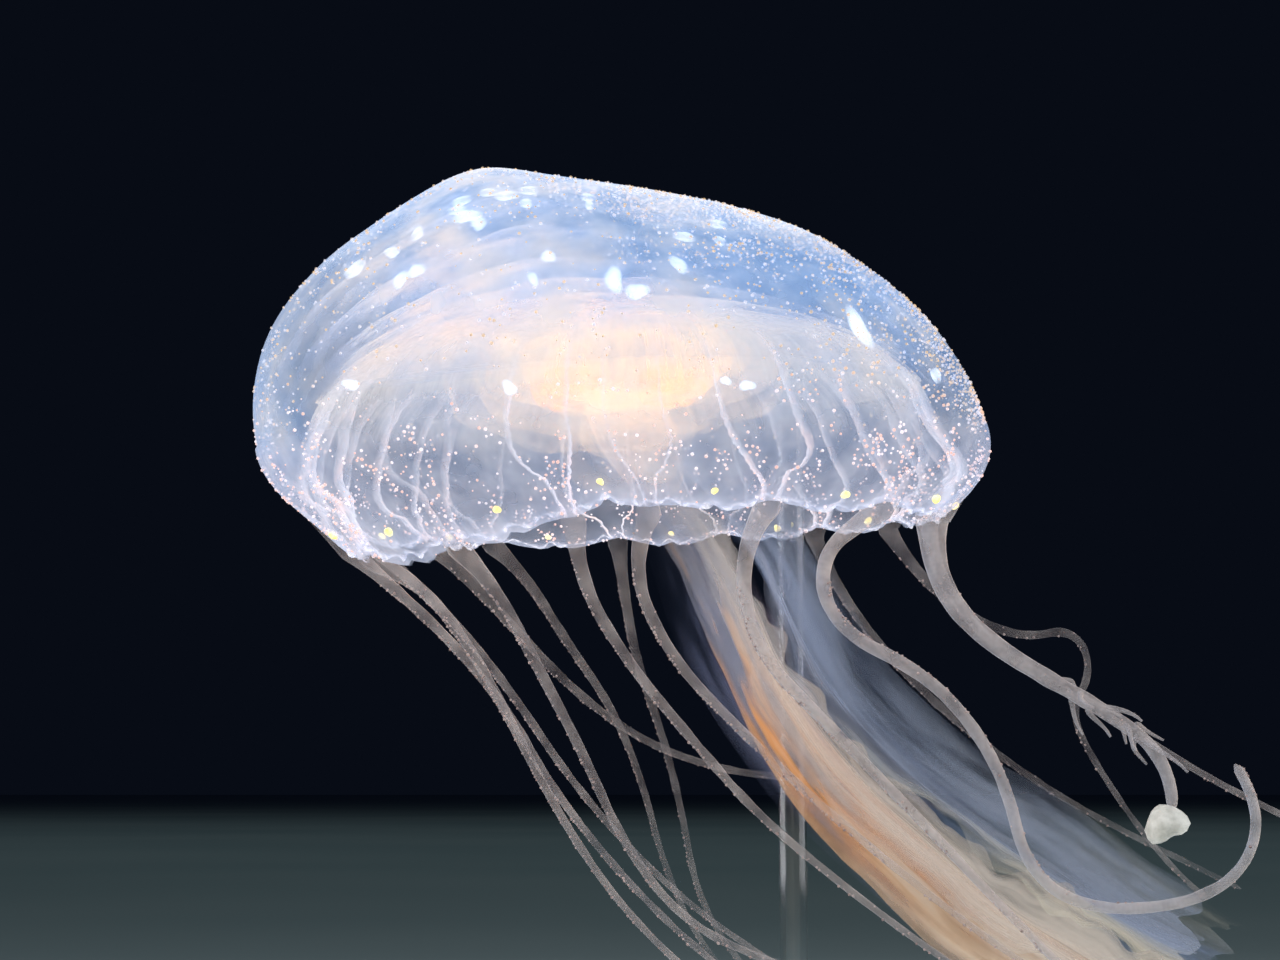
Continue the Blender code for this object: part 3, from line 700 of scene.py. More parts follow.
def makeSepta(material):
    points, faces, fades = [], [], []
    rows, columns, turn = septum["rows"], septum["columns"], septum["turn"]
    for gap in range(tentacleSet["count"]):
        for side in range(2):
            strength = mix(*septum["strength"], 0.5 + 0.5 * math.sin(gap * 2.6 + side * 2.1))
            faces += gridFaces(rows, columns, False, len(points))
            for row in range(rows):
                travel = row / (rows - 1)
                fall = (travel - turn) / (1 - turn)
                share = septumShare(side, max(fall, 0.0))
                azimuth = azimuthAt(gap, share)
                if fall < 0:
                    radius = bell["roofRadius"] * mix(septum["roofStart"], 1.0, (travel / turn) ** 0.8)
                    outer = bellPoint(azimuth, radius, roofHeight(radius) + 0.2)
                    level = bellPoint(azimuth, bell["roofRadius"] * septum["roofStart"], -6)
                else:
                    outer = wallPoint(azimuth, share, fall, mix(0.85, 0.05, ease(fall, 0.7, 1.0)))
                    level = bellPoint(azimuth, 20, -8)
                reach = mix(0.2, septum["depth"], ease(travel, 0.0, 0.35))
                reach = mix(reach, septum["edgeDepth"], ease(fall, 0.5, 1.0))
                reach *= 1 + 0.3 * lumps(outer, 4, gap)
                inward = (level - outer).normalized()
                fade = strength * ease(travel, 0.1, 0.5)
                for column in range(columns):
                    deep = column / (columns - 1)
                    wave = math.sin(fullTurn * row * 0.45 / septum["ruffleLength"] + gap * 1.9 + side)
                    wave += lumps(outer, 2.5, side)
                    aside = sideways(azimuth) * wave * septum["ruffle"] * (0.3 + deep)
                    points.append(outer + inward * reach * deep + aside)
                    fades.append(fade * (0.3 + 0.7 * deep ** 2) * (0.5 + 0.5 * ease(fall, 0.1, 0.7)))
    return thicken(makePiece("radial_septa", points, faces, material, {"fade": fades}), septum["wall"])


hem = {"height": 0.9, "start": 0.95, "curl": 0.45, "curlsPerGap": 5, "cover": (0.1, 0.85),
       "steps": 72, "rows": 6, "wall": 0.16}


def makeHem(material):
    # the curled lace along the free edge of the lappets, one closed strip round the margin
    deeps = [row / (hem["rows"] - 1) for row in range(hem["rows"])]
    rings = [[] for deep in deeps]
    for gap in range(tentacleSet["count"]):
        for step in range(hem["steps"]):
            share = step / hem["steps"]
            azimuth = azimuthAt(gap, share)
            base = wallPoint(azimuth, share, hem["start"], 0.1)
            edge = wallPoint(azimuth, share, 1.0, 0.0)
            down = (edge - wallPoint(azimuth, share, 0.9, 0.0)).normalized()
            outward = (edge - wallPoint(azimuth, share, 1.0, 1.0)).normalized()
            rough = lumps(base, 3.2, 5.0)
            height = hem["height"] * (0.9 + 0.25 * rough) * (0.35 + 0.65 * math.sin(math.pi * share) ** 0.5)
            curl = math.sin(fullTurn * hem["curlsPerGap"] * share + 4 * lumps(base, 6, 2.0)) + 0.6 * rough
            for ring, deep in zip(rings, deeps):
                ring.append(base + down * height * deep + outward * curl * hem["curl"] * deep ** 1.5)
    fades = [mix(*hem["cover"], deep ** 1.5) for deep in deeps for point in rings[0]]
    faces = gridFaces(hem["rows"], len(rings[0]), True)
    return thicken(makePiece("lappet_hem", sum(rings, []), faces, material, {"fade": fades}), hem["wall"])


beadInputs = {"Spacing": "Float", "Most": "Float", "Smallest": "Float", "Largest": "Float", "Seed": "Int",
              "Bead finish": "Material"}


def scatterBeads(add, entry, surface, density):
    # small beads spread at random over a surface, no two closer than the spacing
    spots = add("GeometryNodeDistributePointsOnFaces", {
        "Mesh": surface, "Distance Min": entry["Spacing"], "Density Max": entry["Most"],
        "Density Factor": density, "Seed": entry["Seed"]}, distribute_method="POISSON")
    bead = add("GeometryNodeMeshIcoSphere", {"Radius": 1.0, "Subdivisions": 1})
    size = add("FunctionNodeRandomValue", {
        2: entry["Smallest"], 3: entry["Largest"], "Seed": entry["Seed"]}, out=1, data_type="FLOAT")
    beads = add("GeometryNodeInstanceOnPoints", {
        "Points": spots, "Instance": bead, "Rotation": spots.node.outputs["Rotation"], "Scale": size})
    real = add("GeometryNodeRealizeInstances", (beads,))
    smooth = add("GeometryNodeSetShadeSmooth", (real,))
    return add("GeometryNodeSetMaterial", {0: smooth, "Material": entry["Bead finish"]})


def makeWarts(umbrella, finish):
    tree, add, entry = newGeometryTree("spreadWarts", beadInputs)
    density = add("GeometryNodeInputNamedAttribute", {"Name": "wartDensity"}, data_type="FLOAT")
    add("NodeGroupOutput", (scatterBeads(add, entry, entry["Geometry"], density),))
    return runTree(addObject("bell_warts", umbrella.data.copy()), tree, {
        "Spacing": wart["spacing"] * mm, "Most": wart["most"] / mm ** 2, "Smallest": wart["smallest"] * mm,
        "Largest": wart["largest"] * mm, "Seed": wart["seed"], "Bead finish": finish})


def makeBlobs(name, blobs, material, lump=0.0, lumpSize=1.0):
    # rounded beads, each with its centre, its across, up and outward directions, its sizes and a seed
    points, faces, fades = [], [], []
    rings, sides = 10, 20
    for centre, axes, size, seed in blobs:
        faces += gridFaces(rings + 1, sides, True, len(points))
        for ring in range(rings + 1):
            tilt = math.pi * ring / rings
            for side in range(sides):
                turn = fullTurn * side / sides
                swell = 1 + 0.18 * math.sin(2 * turn + seed) + 0.12 * math.sin(3 * turn + 2 * seed)
                flat = math.sin(tilt) * swell
                point = (centre + axes[0] * size[0] * flat * math.cos(turn)
                         + axes[1] * size[1] * flat * math.sin(turn) + axes[2] * size[2] * math.cos(tilt))
                if lump:
                    point = centre + (point - centre) * (1 + lump * lumps(point, lumpSize) / 2)
                points.append(point)
                fades.append(1 - math.sin(tilt) ** 2)
    return makePiece(name, points, faces, material, {"fade": fades})


# painted highlights on the crown, as white flecks: azimuth and tilt in degrees, half width and half height,
# all grown a little
highlightSpots = {"grown": 1.3, "depth": 0.5, "sink": 1.2, "places": (
    (-18, 32, 1.3, 1.0), (-25, 41, 1.5, 1.2), (-29, 38, 1.1, 0.8), (-21, 44, 0.9, 1.3), (-36, 45, 0.7, 1.1),
    (-49, 53, 1.6, 1.2), (-34, 59, 0.8, 1.1), (-31, 57, 0.9, 0.9), (-6, 56, 0.7, 0.9), (-9, 62, 0.5, 0.9),
    (6, 32, 0.7, 0.7), (5, 37, 0.5, 0.9), (4, 63, 1.0, 1.7), (7, 66, 1.2, 1.0), (33, 44, 0.9, 0.8),
    (21, 50, 1.0, 0.8), (16, 59, 0.8, 1.2), (28, 51, 0.6, 0.6), (44, 73, 1.3, 2.4), (60, 82, 0.9, 0.9),
    (19, 87, 0.8, 0.6), (16, 86, 0.5, 0.5), (-42, 82, 1.2, 0.6), (-15, 86, 0.8, 0.7),
    (-12, 28, 1.3, 0.8), (-31, 34, 1.0, 1.1), (-25, 30, 0.9, 0.7), (-11, 36, 0.6, 1.0), (-40, 50, 1.0, 0.8))}


def makePaintedHighlights(material):
    blobs = []
    for order, (azimuth, tilt, width, height) in enumerate(highlightSpots["places"]):
        azimuth, tilt = math.radians(azimuth), math.radians(tilt)
        across = (domePoint(azimuth + 0.02, tilt) - domePoint(azimuth - 0.02, tilt)).normalized()
        up = (domePoint(azimuth, tilt - 0.02) - domePoint(azimuth, tilt + 0.02)).normalized()
        size = (highlightSpots["grown"] * width, highlightSpots["grown"] * height, highlightSpots["depth"])
        blobs.append((domePoint(azimuth, tilt, highlightSpots["sink"]), (across, up, across.cross(up)), size, order))
    return makeBlobs("painted_highlight_flecks", blobs, material)


rhopalium = {"radius": 0.55, "shape": (0.9, 1.15, 0.8), "fall": 0.86, "lift": 0.1}


def makeRhopalia(material):
    blobs = []
    for gap in range(tentacleSet["count"]):
        azimuth = azimuthAt(gap, 0.5)
        surface = wallPoint(azimuth, 0.5, rhopalium["fall"], 0.0)
        outward = (surface - wallPoint(azimuth, 0.5, rhopalium["fall"], 1.0)).normalized()
        across = sideways(azimuth)
        radius = rhopalium["radius"] * (0.8 + 0.35 * math.sin(gap * 2.3) ** 2)
        blobs.append((surface + outward * rhopalium["lift"], (across, outward.cross(across), outward),
                      [radius * share for share in rhopalium["shape"]], gap))
    return makeBlobs("rhopalia", blobs, material)


def gutLining():
    # Stomach wall: cream tissue with orange folds and a strong warm painted glow
    return softTissue("stomachLining", 5, 4.0, ((0.45, "#FFF0D2"), (0.66, "#FFD8A2")),
                      (0.35, 0.65, 0.3, 1.3), "cover", roughness=0.45, through=0.5, glow=0.75)


def paintedCoreGlow():
    # Haze round the stomach: a painted glow, warm light that the milky jelly scatters about the core, painted
    # as emission on nested shells
    return softTissue("warmPaintedGlow", 7, 1.0, ((0.0, "#F4E2D0"), (0.5, "#FFE8C4"), (1.0, "#FFDCA4")),
                      (0.35, 0.65, 0.4, 1.5), "cover", "warmth", roughness=0.7, through=0.5, glow=0.5)


def throatTissue():
    # Manubrium: the mouth stalk, creamy, soft and nearly clear, with a faint painted glow
    return softTissue("manubriumTissue", 5, 3.0, ((0.4, "#F6E2D6"), (0.7, "#EED0BC")),
                      (0.3, 0.7, 0.08, 0.2), roughness=0.4, through=0.5, glow=0.15)


def gonadTissue():
    # Gonads: grainy orange egg tissue in patches, the warmest colour of the animal, with a strong painted
    # glow
    material, add, spot = newMaterial("gonadTissue", "spot")
    patches = add("ShaderNodeTexNoise", {"Vector": spot, "Scale": 1 / (4 * mm), "Detail": 2.0})
    grains = add("ShaderNodeTexVoronoi", {"Vector": spot, "Scale": 1 / (0.7 * mm)})
    colour = add("ShaderNodeValToRGB", (patches,), stops=((0.4, "#FF9C4C"), (0.65, "#FFBE7C")))
    bump = add("ShaderNodeBump", {"Strength": 0.5, "Distance": 0.3 * mm, "Height": grains})
    cover = add("ShaderNodeMapRange", (patches, 0.38, 0.62, 0.0, 0.38), interpolation_type="SMOOTHSTEP")
    return finishJelly(material, colour, [cover], 0.45, 0.4, glow=0.7, normal=bump)


stomach = {"radius": 15, "lobe": 1.5, "floor": 9.5, "gap": 0.3, "sides": 128, "fold": 0.35, "folds": 16,
           "cover": (0.5, 0.04)}  # in the middle and at the corners
gonad = {"ring": 11.5, "radius": 2.1, "span": 62, "rows": 60, "sides": 16, "ruffle": 0.28, "ruffles": 9}
throat = {"radius": 5.5, "corner": 0.25, "step": 6.5, "headings": (-90, -68, -42), "rows": 30, "sides": 64,
          "rib": 0.18}


def makeStomach(material):
    rings = [(0.08 * step, None) for step in range(1, 12)]
    rings += [(0.94, None), (0.985, 0.85), (1.0, 0.6), (0.99, 0.35), (0.95, 0.16), (0.88, 0.06)]
    rings += [(0.8 - 0.1 * step, 0.0) for step in range(8)]
    sides = stomach["sides"]
    points, covers = [], []
    for share, fall in rings:  # fall is None on the top, which follows the roof
        for side in range(sides):
            azimuth = fullTurn * side / sides
            radius = (stomach["radius"] + stomach["lobe"] * math.cos(4 * azimuth)) * share
            fold = math.sin(stomach["folds"] * azimuth + 2 * math.sin(3 * azimuth))
            fold = stomach["fold"] * fold * share ** 2
            top = roofHeight(radius) - stomach["gap"]
            height = top if fall is None else mix(stomach["floor"], top, fall)
            if fall == 0.0:
                height += 0.3 * math.sin(9 * azimuth + radius) * share
            points.append(bellPoint(azimuth, radius - abs(fold), height))
            covers.append(mix(*stomach["cover"], ease(share, 0.35, 0.95)))
    faces = gridFaces(len(rings), sides, True)
    addFans(faces, sides, len(points))
    points += [bellPoint(0, 0, bell["roofHeight"] - stomach["gap"]), bellPoint(0, 0, stomach["floor"])]
    covers += [stomach["cover"][0]] * 2
    return makePiece("stomach_skin", points, faces, material, {"cover": covers})


def makeGonad(number, material):
    middle = fullTurn / 4 * (number - 0.5)
    floor = stomach["floor"] - stomach["gap"] - gonad["radius"]
    points = []
    for row in range(gonad["rows"]):
        share = row / (gonad["rows"] - 1)
        azimuth = middle + math.radians(gonad["span"]) * (share - 0.5)
        plump = math.sin(math.pi * share)
        girth = gonad["radius"] * (0.3 + 0.62 * plump ** 0.5)
        for side in range(gonad["sides"]):
            angle = fullTurn * side / gonad["sides"]
            ruffle = gonad["ruffle"] * math.sin(fullTurn * gonad["ruffles"] * share + 1.5 * math.sin(angle))
            reach = girth + ruffle * (0.4 + 0.6 * plump)
            across = gonad["ring"] + reach * math.cos(angle)
            points.append(bellPoint(azimuth, across, floor + reach * math.sin(angle)))
    faces = [face[::-1] for face in gridFaces(gonad["rows"], gonad["sides"], True)]
    return makePiece(f"gonad_{number}_skin", points, capEnds(faces, gonad["rows"], gonad["sides"]), material)


def throatRoute():
    start = bellPoint(0, 0, stomach["floor"] - stomach["gap"])
    return headingRoute(start, throat["headings"], throat["step"], start.y)


def makeThroat(material):
    route = throatRoute()
    rows, sides = throat["rows"], throat["sides"]
    points = []
    for row in range(rows):
        point, along, lift, level = routeFrame(route, routeLength(route) * row / (rows - 1))
        for side in range(sides):
            angle = fullTurn * side / sides
            girth = throat["radius"] - throat["corner"] * math.cos(4 * angle) - throat["rib"]
            girth += throat["rib"] * math.cos(16 * angle + row * 0.1)
            points.append(point + (lift * math.cos(angle) + level * math.sin(angle)) * girth)
    faces = capEnds(gridFaces(rows, sides, True), rows, sides)
    return makePiece("manubrium_skin", points, faces, material)


# nested shells of painted glow round the stomach: place across and up, half width and half height, what each
# hides and how warm it is
haze = {"depth": -2, "lump": 1.4, "rings": 24, "sides": 48, "shells": (
    (-1, 9.5, 23.5, 11, 0.09, 0.2), (0, 9.5, 20, 8.8, 0.11, 0.4), (0, 10.5, 17.5, 7.2, 0.14, 0.6),
    (1, 10.5, 14.5, 5.8, 0.16, 0.8), (2, 9.5, 10.5, 4.8, 0.18, 1.0), (1, 1, 9, 10.0, 0.07, 0.3),
    (2, 2, 6, 8.0, 0.08, 0.5))}


def makePaintedGlowHaze(material):
    points, faces, values = [], [], {"cover": [], "warmth": []}
    rings, sides = haze["rings"], haze["sides"]
    for order, (across, up, width, height, cover, warmth) in enumerate(haze["shells"]):
        faces += gridFaces(rings + 1, sides, True, len(points))
        for ring in range(rings + 1):
            tilt = math.pi * ring / rings
            for side in range(sides):
                turn = -fullTurn * side / sides
                flat = width * math.sin(tilt)
                spot = Vector((flat * math.cos(turn), flat * math.sin(turn), height * math.cos(tilt)))
                spot *= 1 + haze["lump"] * lumps(spot, 8, order) / width * 3
                points.append(bellFrame @ (spot + Vector((across, haze["depth"], up))))
                values["cover"].append(cover)
                values["warmth"].append(warmth)
    return makePiece("stomach_painted_glow", points, faces, material, values)


arm = {
    "step": 12, "headings": (-42, -54, -64, -60, -48, -42, -37, -31, -26, -22, -20),
    "spine": (1.8, 6.0), "reach": (7.0, 14.0), "spread": 44,  # from mouth to tip, and degrees
    "reachWave": 1.0, "waveLength": 24, "fold": 2.4, "foldLength": 20, "creaseLength": 7, "frillLength": 3.2,
    "swellAt": 24, "swellLength": 13, "ragged": 7.0, "hidden": 10,
    "tide": 110,  # the length over which the colours run
    "places": (0.22, 0.42, 0.6, 0.85),
    "station": 0.5, "across": 36, "wall": 0.3,
}
# What sets each arm apart: how much wider it grows at the swelling, how far it thins towards its free edges,
# how solid its two wings are, how strong creases and frills are, its colours from mouth to tip and on its
# upper wing, and its least and most cover
arms = {
    1: {"length": 108, "swell": 0.1, "softEdge": 0.8, "wings": (0.5, 1.1), "crease": 0.7, "frill": 0.4,
        "tints": ("#929FBA", "#7C8AA6", "#8E96A0", "#CFCBBC"), "upper": "#8A9CC0", "cover": (0.015, 0.18)},
    2: {"length": 114, "swell": 0.55, "softEdge": 0.8, "wings": (1.1, 0.7), "crease": 0.7, "frill": 0.4,
        "tints": ("#A394A4", "#8C8294", "#8E8E92", "#A9A294"), "upper": "#7E88AC", "cover": (0.03, 0.27)},
    3: {"length": 118, "swell": 0.0, "softEdge": 0.45, "wings": (1.0, 0.9), "crease": 1.7, "frill": 1.6,
        "tints": ("#B4B3BE", "#FFBA76", "#EEC69E", "#E0D2BE"), "upper": "#CCC3BA", "cover": (0.26, 0.6)},
    4: {"length": 102, "swell": 0.1, "softEdge": 0.6, "wings": (1.7, 0.6), "crease": 1.0, "frill": 0.8,
        "tints": ("#A9AFC2", "#A5A8B2", "#B2B2AE", "#DAD2C0"), "upper": "#98A3B8", "cover": (0.07, 0.32)},
}


def armTissue(number):
    # Oral arm: a gauzy curtain with soft streaks along its length, thinnest at its free edges, with a faint
    # painted glow
    material, add, flare, along, cover, seed, side = newMaterial(
        f"oralArmTissue{number}", "flare", "along", "cover", "seed", "side")
    plan = arms[number]
    place = add("ShaderNodeCombineXYZ", (flare, along, seed))
    place = add("ShaderNodeVectorMath", (place, (4.5, 0.05, 1.0)), operation="MULTIPLY")
    fibres = add("ShaderNodeTexNoise", {"Vector": place, "Scale": 1.0, "Detail": 3.0, "Roughness": 0.5})
    share = add("ShaderNodeMapRange", (along, 0.0, arm["tide"]))
    drift = add("ShaderNodeMapRange", (fibres, 0.3, 0.7, -0.18, 0.18))
    share = add("ShaderNodeMath", (share, drift), operation="ADD")
    colour = add("ShaderNodeValToRGB", (share,), stops=tuple(zip(arm["places"], plan["tints"])))
    raised = add("ShaderNodeMath", (side, drift), operation="ADD")
    raised = add("ShaderNodeMapRange", (raised, 0.15, 0.6, 0.0, 0.9), interpolation_type="SMOOTHSTEP")
    colour = add("ShaderNodeMix", {0: raised, 6: colour, 7: linear(plan["upper"])}, out=2, data_type="RGBA")
    streaks = add("ShaderNodeMapRange", (fibres, 0.36, 0.66, *plan["cover"]),
                      interpolation_type="SMOOTHSTEP")
    return finishJelly(material, colour, [cover, streaks], 0.45, 0.45, glow=0.08)


def makeArm(number, material):
    plan = arms[number]
    throatPath = throatRoute()
    inside = routeLength(throatPath)
    start = throatPath[-1] + routeFrame(throatPath, inside)[1] * stomach["gap"]
    route = throatPath + headingRoute(start, arm["headings"], arm["step"], start.y)
    routeTotal = routeLength(route) - inside
    quarter = fullTurn / 4 * (number - 0.5)
    rows = round((plan["length"] + arm["hidden"]) / arm["station"])
    points, faces, values = [], [], {"flare": [], "along": [], "seed": [], "side": [], "cover": []}

    def addSheet(columns, isFrill):  # a curtain of two wings, or the single frill that runs between them
        faces.extend(gridFaces(rows, columns, False, len(points)))
        seed = number * 7.3 + (3.1 if isFrill else 0.0)
        for row in range(rows):
            for column in range(columns):
                wing = column / (columns - 1) * 2 - 1
                flare = (wing + 1) / 2 if isFrill else abs(wing)
                tear = 0.5 + 0.5 * lumps((wing * 6, seed, 0), 1.0) + 0.3 * math.sin(wing * 9 + seed)
                end = plan["length"] - arm["ragged"] * tear * (0.4 + 0.6 * flare)
                spot = mix(-arm["hidden"], end, row / (rows - 1))
                point, ahead, lift, level = routeFrame(route, spot + inside)
                share = max(spot, 0) / routeTotal
                reach = mix(*arm["reach"], min(1, share * 1.5)) * (1 - 0.35 * max(0, share - 0.6) / 0.4)
                reach *= 1 + plan["swell"] * hill(spot - arm["swellAt"], arm["swellLength"])
                radius = mix(mix(*arm["spine"], share), reach, flare * (0.85 if isFrill else 1.0))
                radius += arm["reachWave"] * flare * 1.6 * lumps((spot, wing * 5, seed), arm["waveLength"])
                swing = 0 if isFrill else math.copysign(math.radians(arm["spread"]) * flare ** 0.6, wing)
                shift = arm["fold"] * flare * lumps((spot, wing * 6, seed), arm["foldLength"])
                shift += plan["crease"] * flare ** 2 * lumps((spot, wing * 4, seed), arm["creaseLength"])
                frill = lumps((spot, wing * 2, seed), arm["frillLength"])
                shift += plan["frill"] * flare ** 4 * share ** 0.5 * frill
                angle = quarter + swing + 1.7 * shift * ease(spot, -4, 16) / max(radius, 3)
                radius = mix(5.0 + 0.5 * flare, radius, ease(spot, -6, 6))
                points.append(point + (lift * math.cos(angle) + level * math.sin(angle)) * radius)
                body = (1 + 0.4 * (1 - flare)) * mix(*plan["wings"], (wing + 1) / 2)
                body *= mix(0.25, 1.0, ease(spot, 4, 36)) * mix(1.0, 1.5, ease(spot, 60, 95))
                body *= 1 - plan["softEdge"] * ease(flare, 0.7, 1.0)
                body = body * ease(spot, -8, 2) * (0.6 if isFrill else 1.0)
                side = 0.6 if isFrill else (wing + 1) / 2
                for label, value in zip(values, (wing if isFrill else flare, spot, seed, side, body)):
                    values[label].append(value)

    addSheet(arm["across"] + 1, False)
    addSheet(arm["across"] // 2 + 1, True)
    return thicken(makePiece(f"oral_arm_{number}_skin", points, faces, material, values), arm["wall"])


def tentacleFlesh():
    # Tentacle: clear cord, brightest along its two edges; its pinkish grey is painted pinker and lighter on
    # the side that faces right and greyer on the side that faces left, as painted light and shade
    material, add, spot, along, pale = newMaterial("tentacleFlesh", "spot", "along", "pale")
    patches = add("ShaderNodeTexNoise", {"Vector": spot, "Scale": 1 / (4 * mm), "Detail": 3.0})
    # painted light and shade: which way the surface faces, +X or -X, picks the lit pink or the shaded grey
    normal = add("ShaderNodeNewGeometry", out="Normal")
    toRight = add("ShaderNodeSeparateXYZ", (normal,), out=0)
    side = add("ShaderNodeMapRange", (toRight, -0.8, 0.8))
    shadedGrey = add("ShaderNodeValToRGB", (patches,), stops=((0.35, "#A4A8B4"), (0.65, "#C0C0C6")))
    litPink = add("ShaderNodeValToRGB", (patches,), stops=((0.35, "#D2BAB0"), (0.65, "#F2DED2")))
    colour = add("ShaderNodeMix", {0: side, 6: shadedGrey, 7: litPink}, out=2, data_type="RGBA")
    # the paler tint, too, is painted lighter and warmer on the right side and darker and bluer on the left
    whiter = add("ShaderNodeMath", (pale, 0.75), operation="MULTIPLY", use_clamp=True)
    white = add("ShaderNodeMix", {0: side, 6: linear("#C4CCDC"), 7: linear("#FFEBDC")}, out=2,
                    data_type="RGBA")
    colour = add("ShaderNodeMix", {0: whiter, 6: colour, 7: white}, out=2, data_type="RGBA")
    depth = add("ShaderNodeSeparateXYZ", (spot,), out=1)
    thin = add("ShaderNodeMapRange", (depth, -0.01, 0.03, 1.0, 0.45),
                   interpolation_type="SMOOTHSTEP")  # those on the far side are clearer
    start = add("ShaderNodeMapRange", (along, -5.0, 2.5), interpolation_type="SMOOTHSTEP")
    cover = add("ShaderNodeMapRange", (patches, 0.3, 0.7, 0.13, 0.34))
    edge = seenOnEdge(add, 0.3, 0.3, 0.85, 1.0, 2.2)
    denser = add("ShaderNodeMapRange", (pale, 0.0, 1.0, 1.0, 1.9))
    line = add("ShaderNodeCombineXYZ", (along,))
    wrinkles = add("ShaderNodeTexWave", {"Vector": line, "Scale": 0.5, "Distortion": 1.5}, out=1)
    bump = add("ShaderNodeBump", {"Strength": 0.3, "Distance": 0.15 * mm, "Height": wrinkles})
    return finishJelly(material, colour, [cover, edge, denser, start, thin], 0.45, 0.4, normal=bump)


def beadFinish():
    # Tentacle beads: pinkish grey stinging clusters along one side of the cord
    material, add, spot = newMaterial("tentacleBead", "spot")
    patches = add("ShaderNodeTexNoise", {"Vector": spot, "Scale": 1 / (1.2 * mm), "Detail": 1.0})
    colour = add("ShaderNodeValToRGB", (patches,), stops=((0.4, "#E2CCC6"), (0.6, "#B49C98")))
    depth = add("ShaderNodeSeparateXYZ", (spot,), out=1)
    cover = add("ShaderNodeMapRange", (depth, -0.01, 0.03, 0.85, 0.3))
    return finishJelly(material, colour, [cover], 0.4, 0.25)


def curledTissue():
    # Curled tentacle tip: the cord rolled into a dense greyish white knot, with a painted glow
    return softTissue("curledTip", 2, 3.0, ((0.35, "#E4E2D8"), (0.65, "#FDFBF4")), (0.3, 0.7, 0.4, 0.8),
                      roughness=0.4, through=0.3, glow=0.18)


def tentacleTree():
    tree, add, entry = newGeometryTree("sweepTentacle", {
        "Sides": "Int", "Lump height": "Float", "Lump scale": "Float", "Bead side": "Vector",
        "Flesh": "Material", **beadInputs})
    line = add("GeometryNodeMeshToCurve", (entry["Geometry"],))
    girth = add("GeometryNodeInputNamedAttribute", {"Name": "girth"}, data_type="FLOAT")
    ring = add("GeometryNodeCurvePrimitiveCircle", {"Resolution": entry["Sides"], "Radius": 1.0})
    tube = add("GeometryNodeCurveToMesh", {
        "Curve": line, "Profile Curve": ring, "Scale": girth, "Fill Caps": True})
    facing = add("GeometryNodeInputNormal")
    grain = add("ShaderNodeTexNoise", {"Scale": entry["Lump scale"], "Detail": 2.0})
    raised = add("ShaderNodeMath", (grain, entry["Lump height"]), operation="MULTIPLY")
    push = add("ShaderNodeVectorMath", {0: facing, "Scale": raised}, operation="SCALE")
    lumpy = add("GeometryNodeSetPosition", {0: tube, "Offset": push})
    smooth = add("GeometryNodeSetShadeSmooth", (lumpy,))
    flesh = add("GeometryNodeSetMaterial", {0: smooth, "Material": entry["Flesh"]})
    turned = add("ShaderNodeVectorMath", (facing, entry["Bead side"]), out="Value", operation="DOT_PRODUCT")
    onSide = add("ShaderNodeMapRange", (turned, 0.35, 0.85, 0.02, 1.0))
    shown = add("GeometryNodeInputNamedAttribute", {"Name": "beaded"}, data_type="FLOAT")
    factor = add("ShaderNodeMath", (onSide, shown), operation="MULTIPLY")
    both = add("GeometryNodeJoinGeometry", (scatterBeads(add, entry, lumpy, factor),))
    tree.links.new(flesh, both.node.inputs[0])
    add("NodeGroupOutput", (both,))
    return tree


def tentacleRoute(index):
    azimuth = tentacleAzimuth(index)
    middle = (wallPoint(azimuth, 0, 1, 0) + wallPoint(azimuth, 0, 1, 1)) / 2
    root = middle + bellDown * (stomach["gap"] + margin["edgeWall"])
    plan = planOf(index)
    return headingRoute(root, plan["headings"], plan["step"], plan["tipY"])


bead = {"spacing": 0.42, "most": 2.4, "smallest": 0.12, "largest": 0.22, "lump": 0.1, "lumpSize": 1.4,
        "side": (0.75, 0.0, 0.65), "turned": (2, 3)}  # the beaded side, and the tentacles that bear it above


def sweepCords(name, cords, seed, tree, flesh, beadFinished):
    # each cord is a list of points with girth, distance along it, how beaded it is and how pale
    points, edges, values = [], [], {"girth": [], "along": [], "beaded": [], "pale": []}
    for cord in cords:
        edges += [(len(points) + step, len(points) + step + 1) for step in range(len(cord) - 1)]
        for point, girth, *others in cord:
            points.append(point * mm)
            for label, value in zip(values, (girth * mm, *others)):
                values[label].append(value)
    side = bead["side"] if seed in bead["turned"] else tuple(-value for value in bead["side"])
    return runTree(addMesh(name, points, edges, [], values), tree, {
        "Sides": tentacleSet["sides"], "Lump height": bead["lump"] * mm, "Bead side": side,
        "Lump scale": 1 / (bead["lumpSize"] * mm), "Spacing": bead["spacing"] * mm,
        "Most": bead["most"] / mm ** 2, "Smallest": bead["smallest"] * mm, "Largest": bead["largest"] * mm,
        "Seed": seed, "Flesh": flesh, "Bead finish": beadFinished})


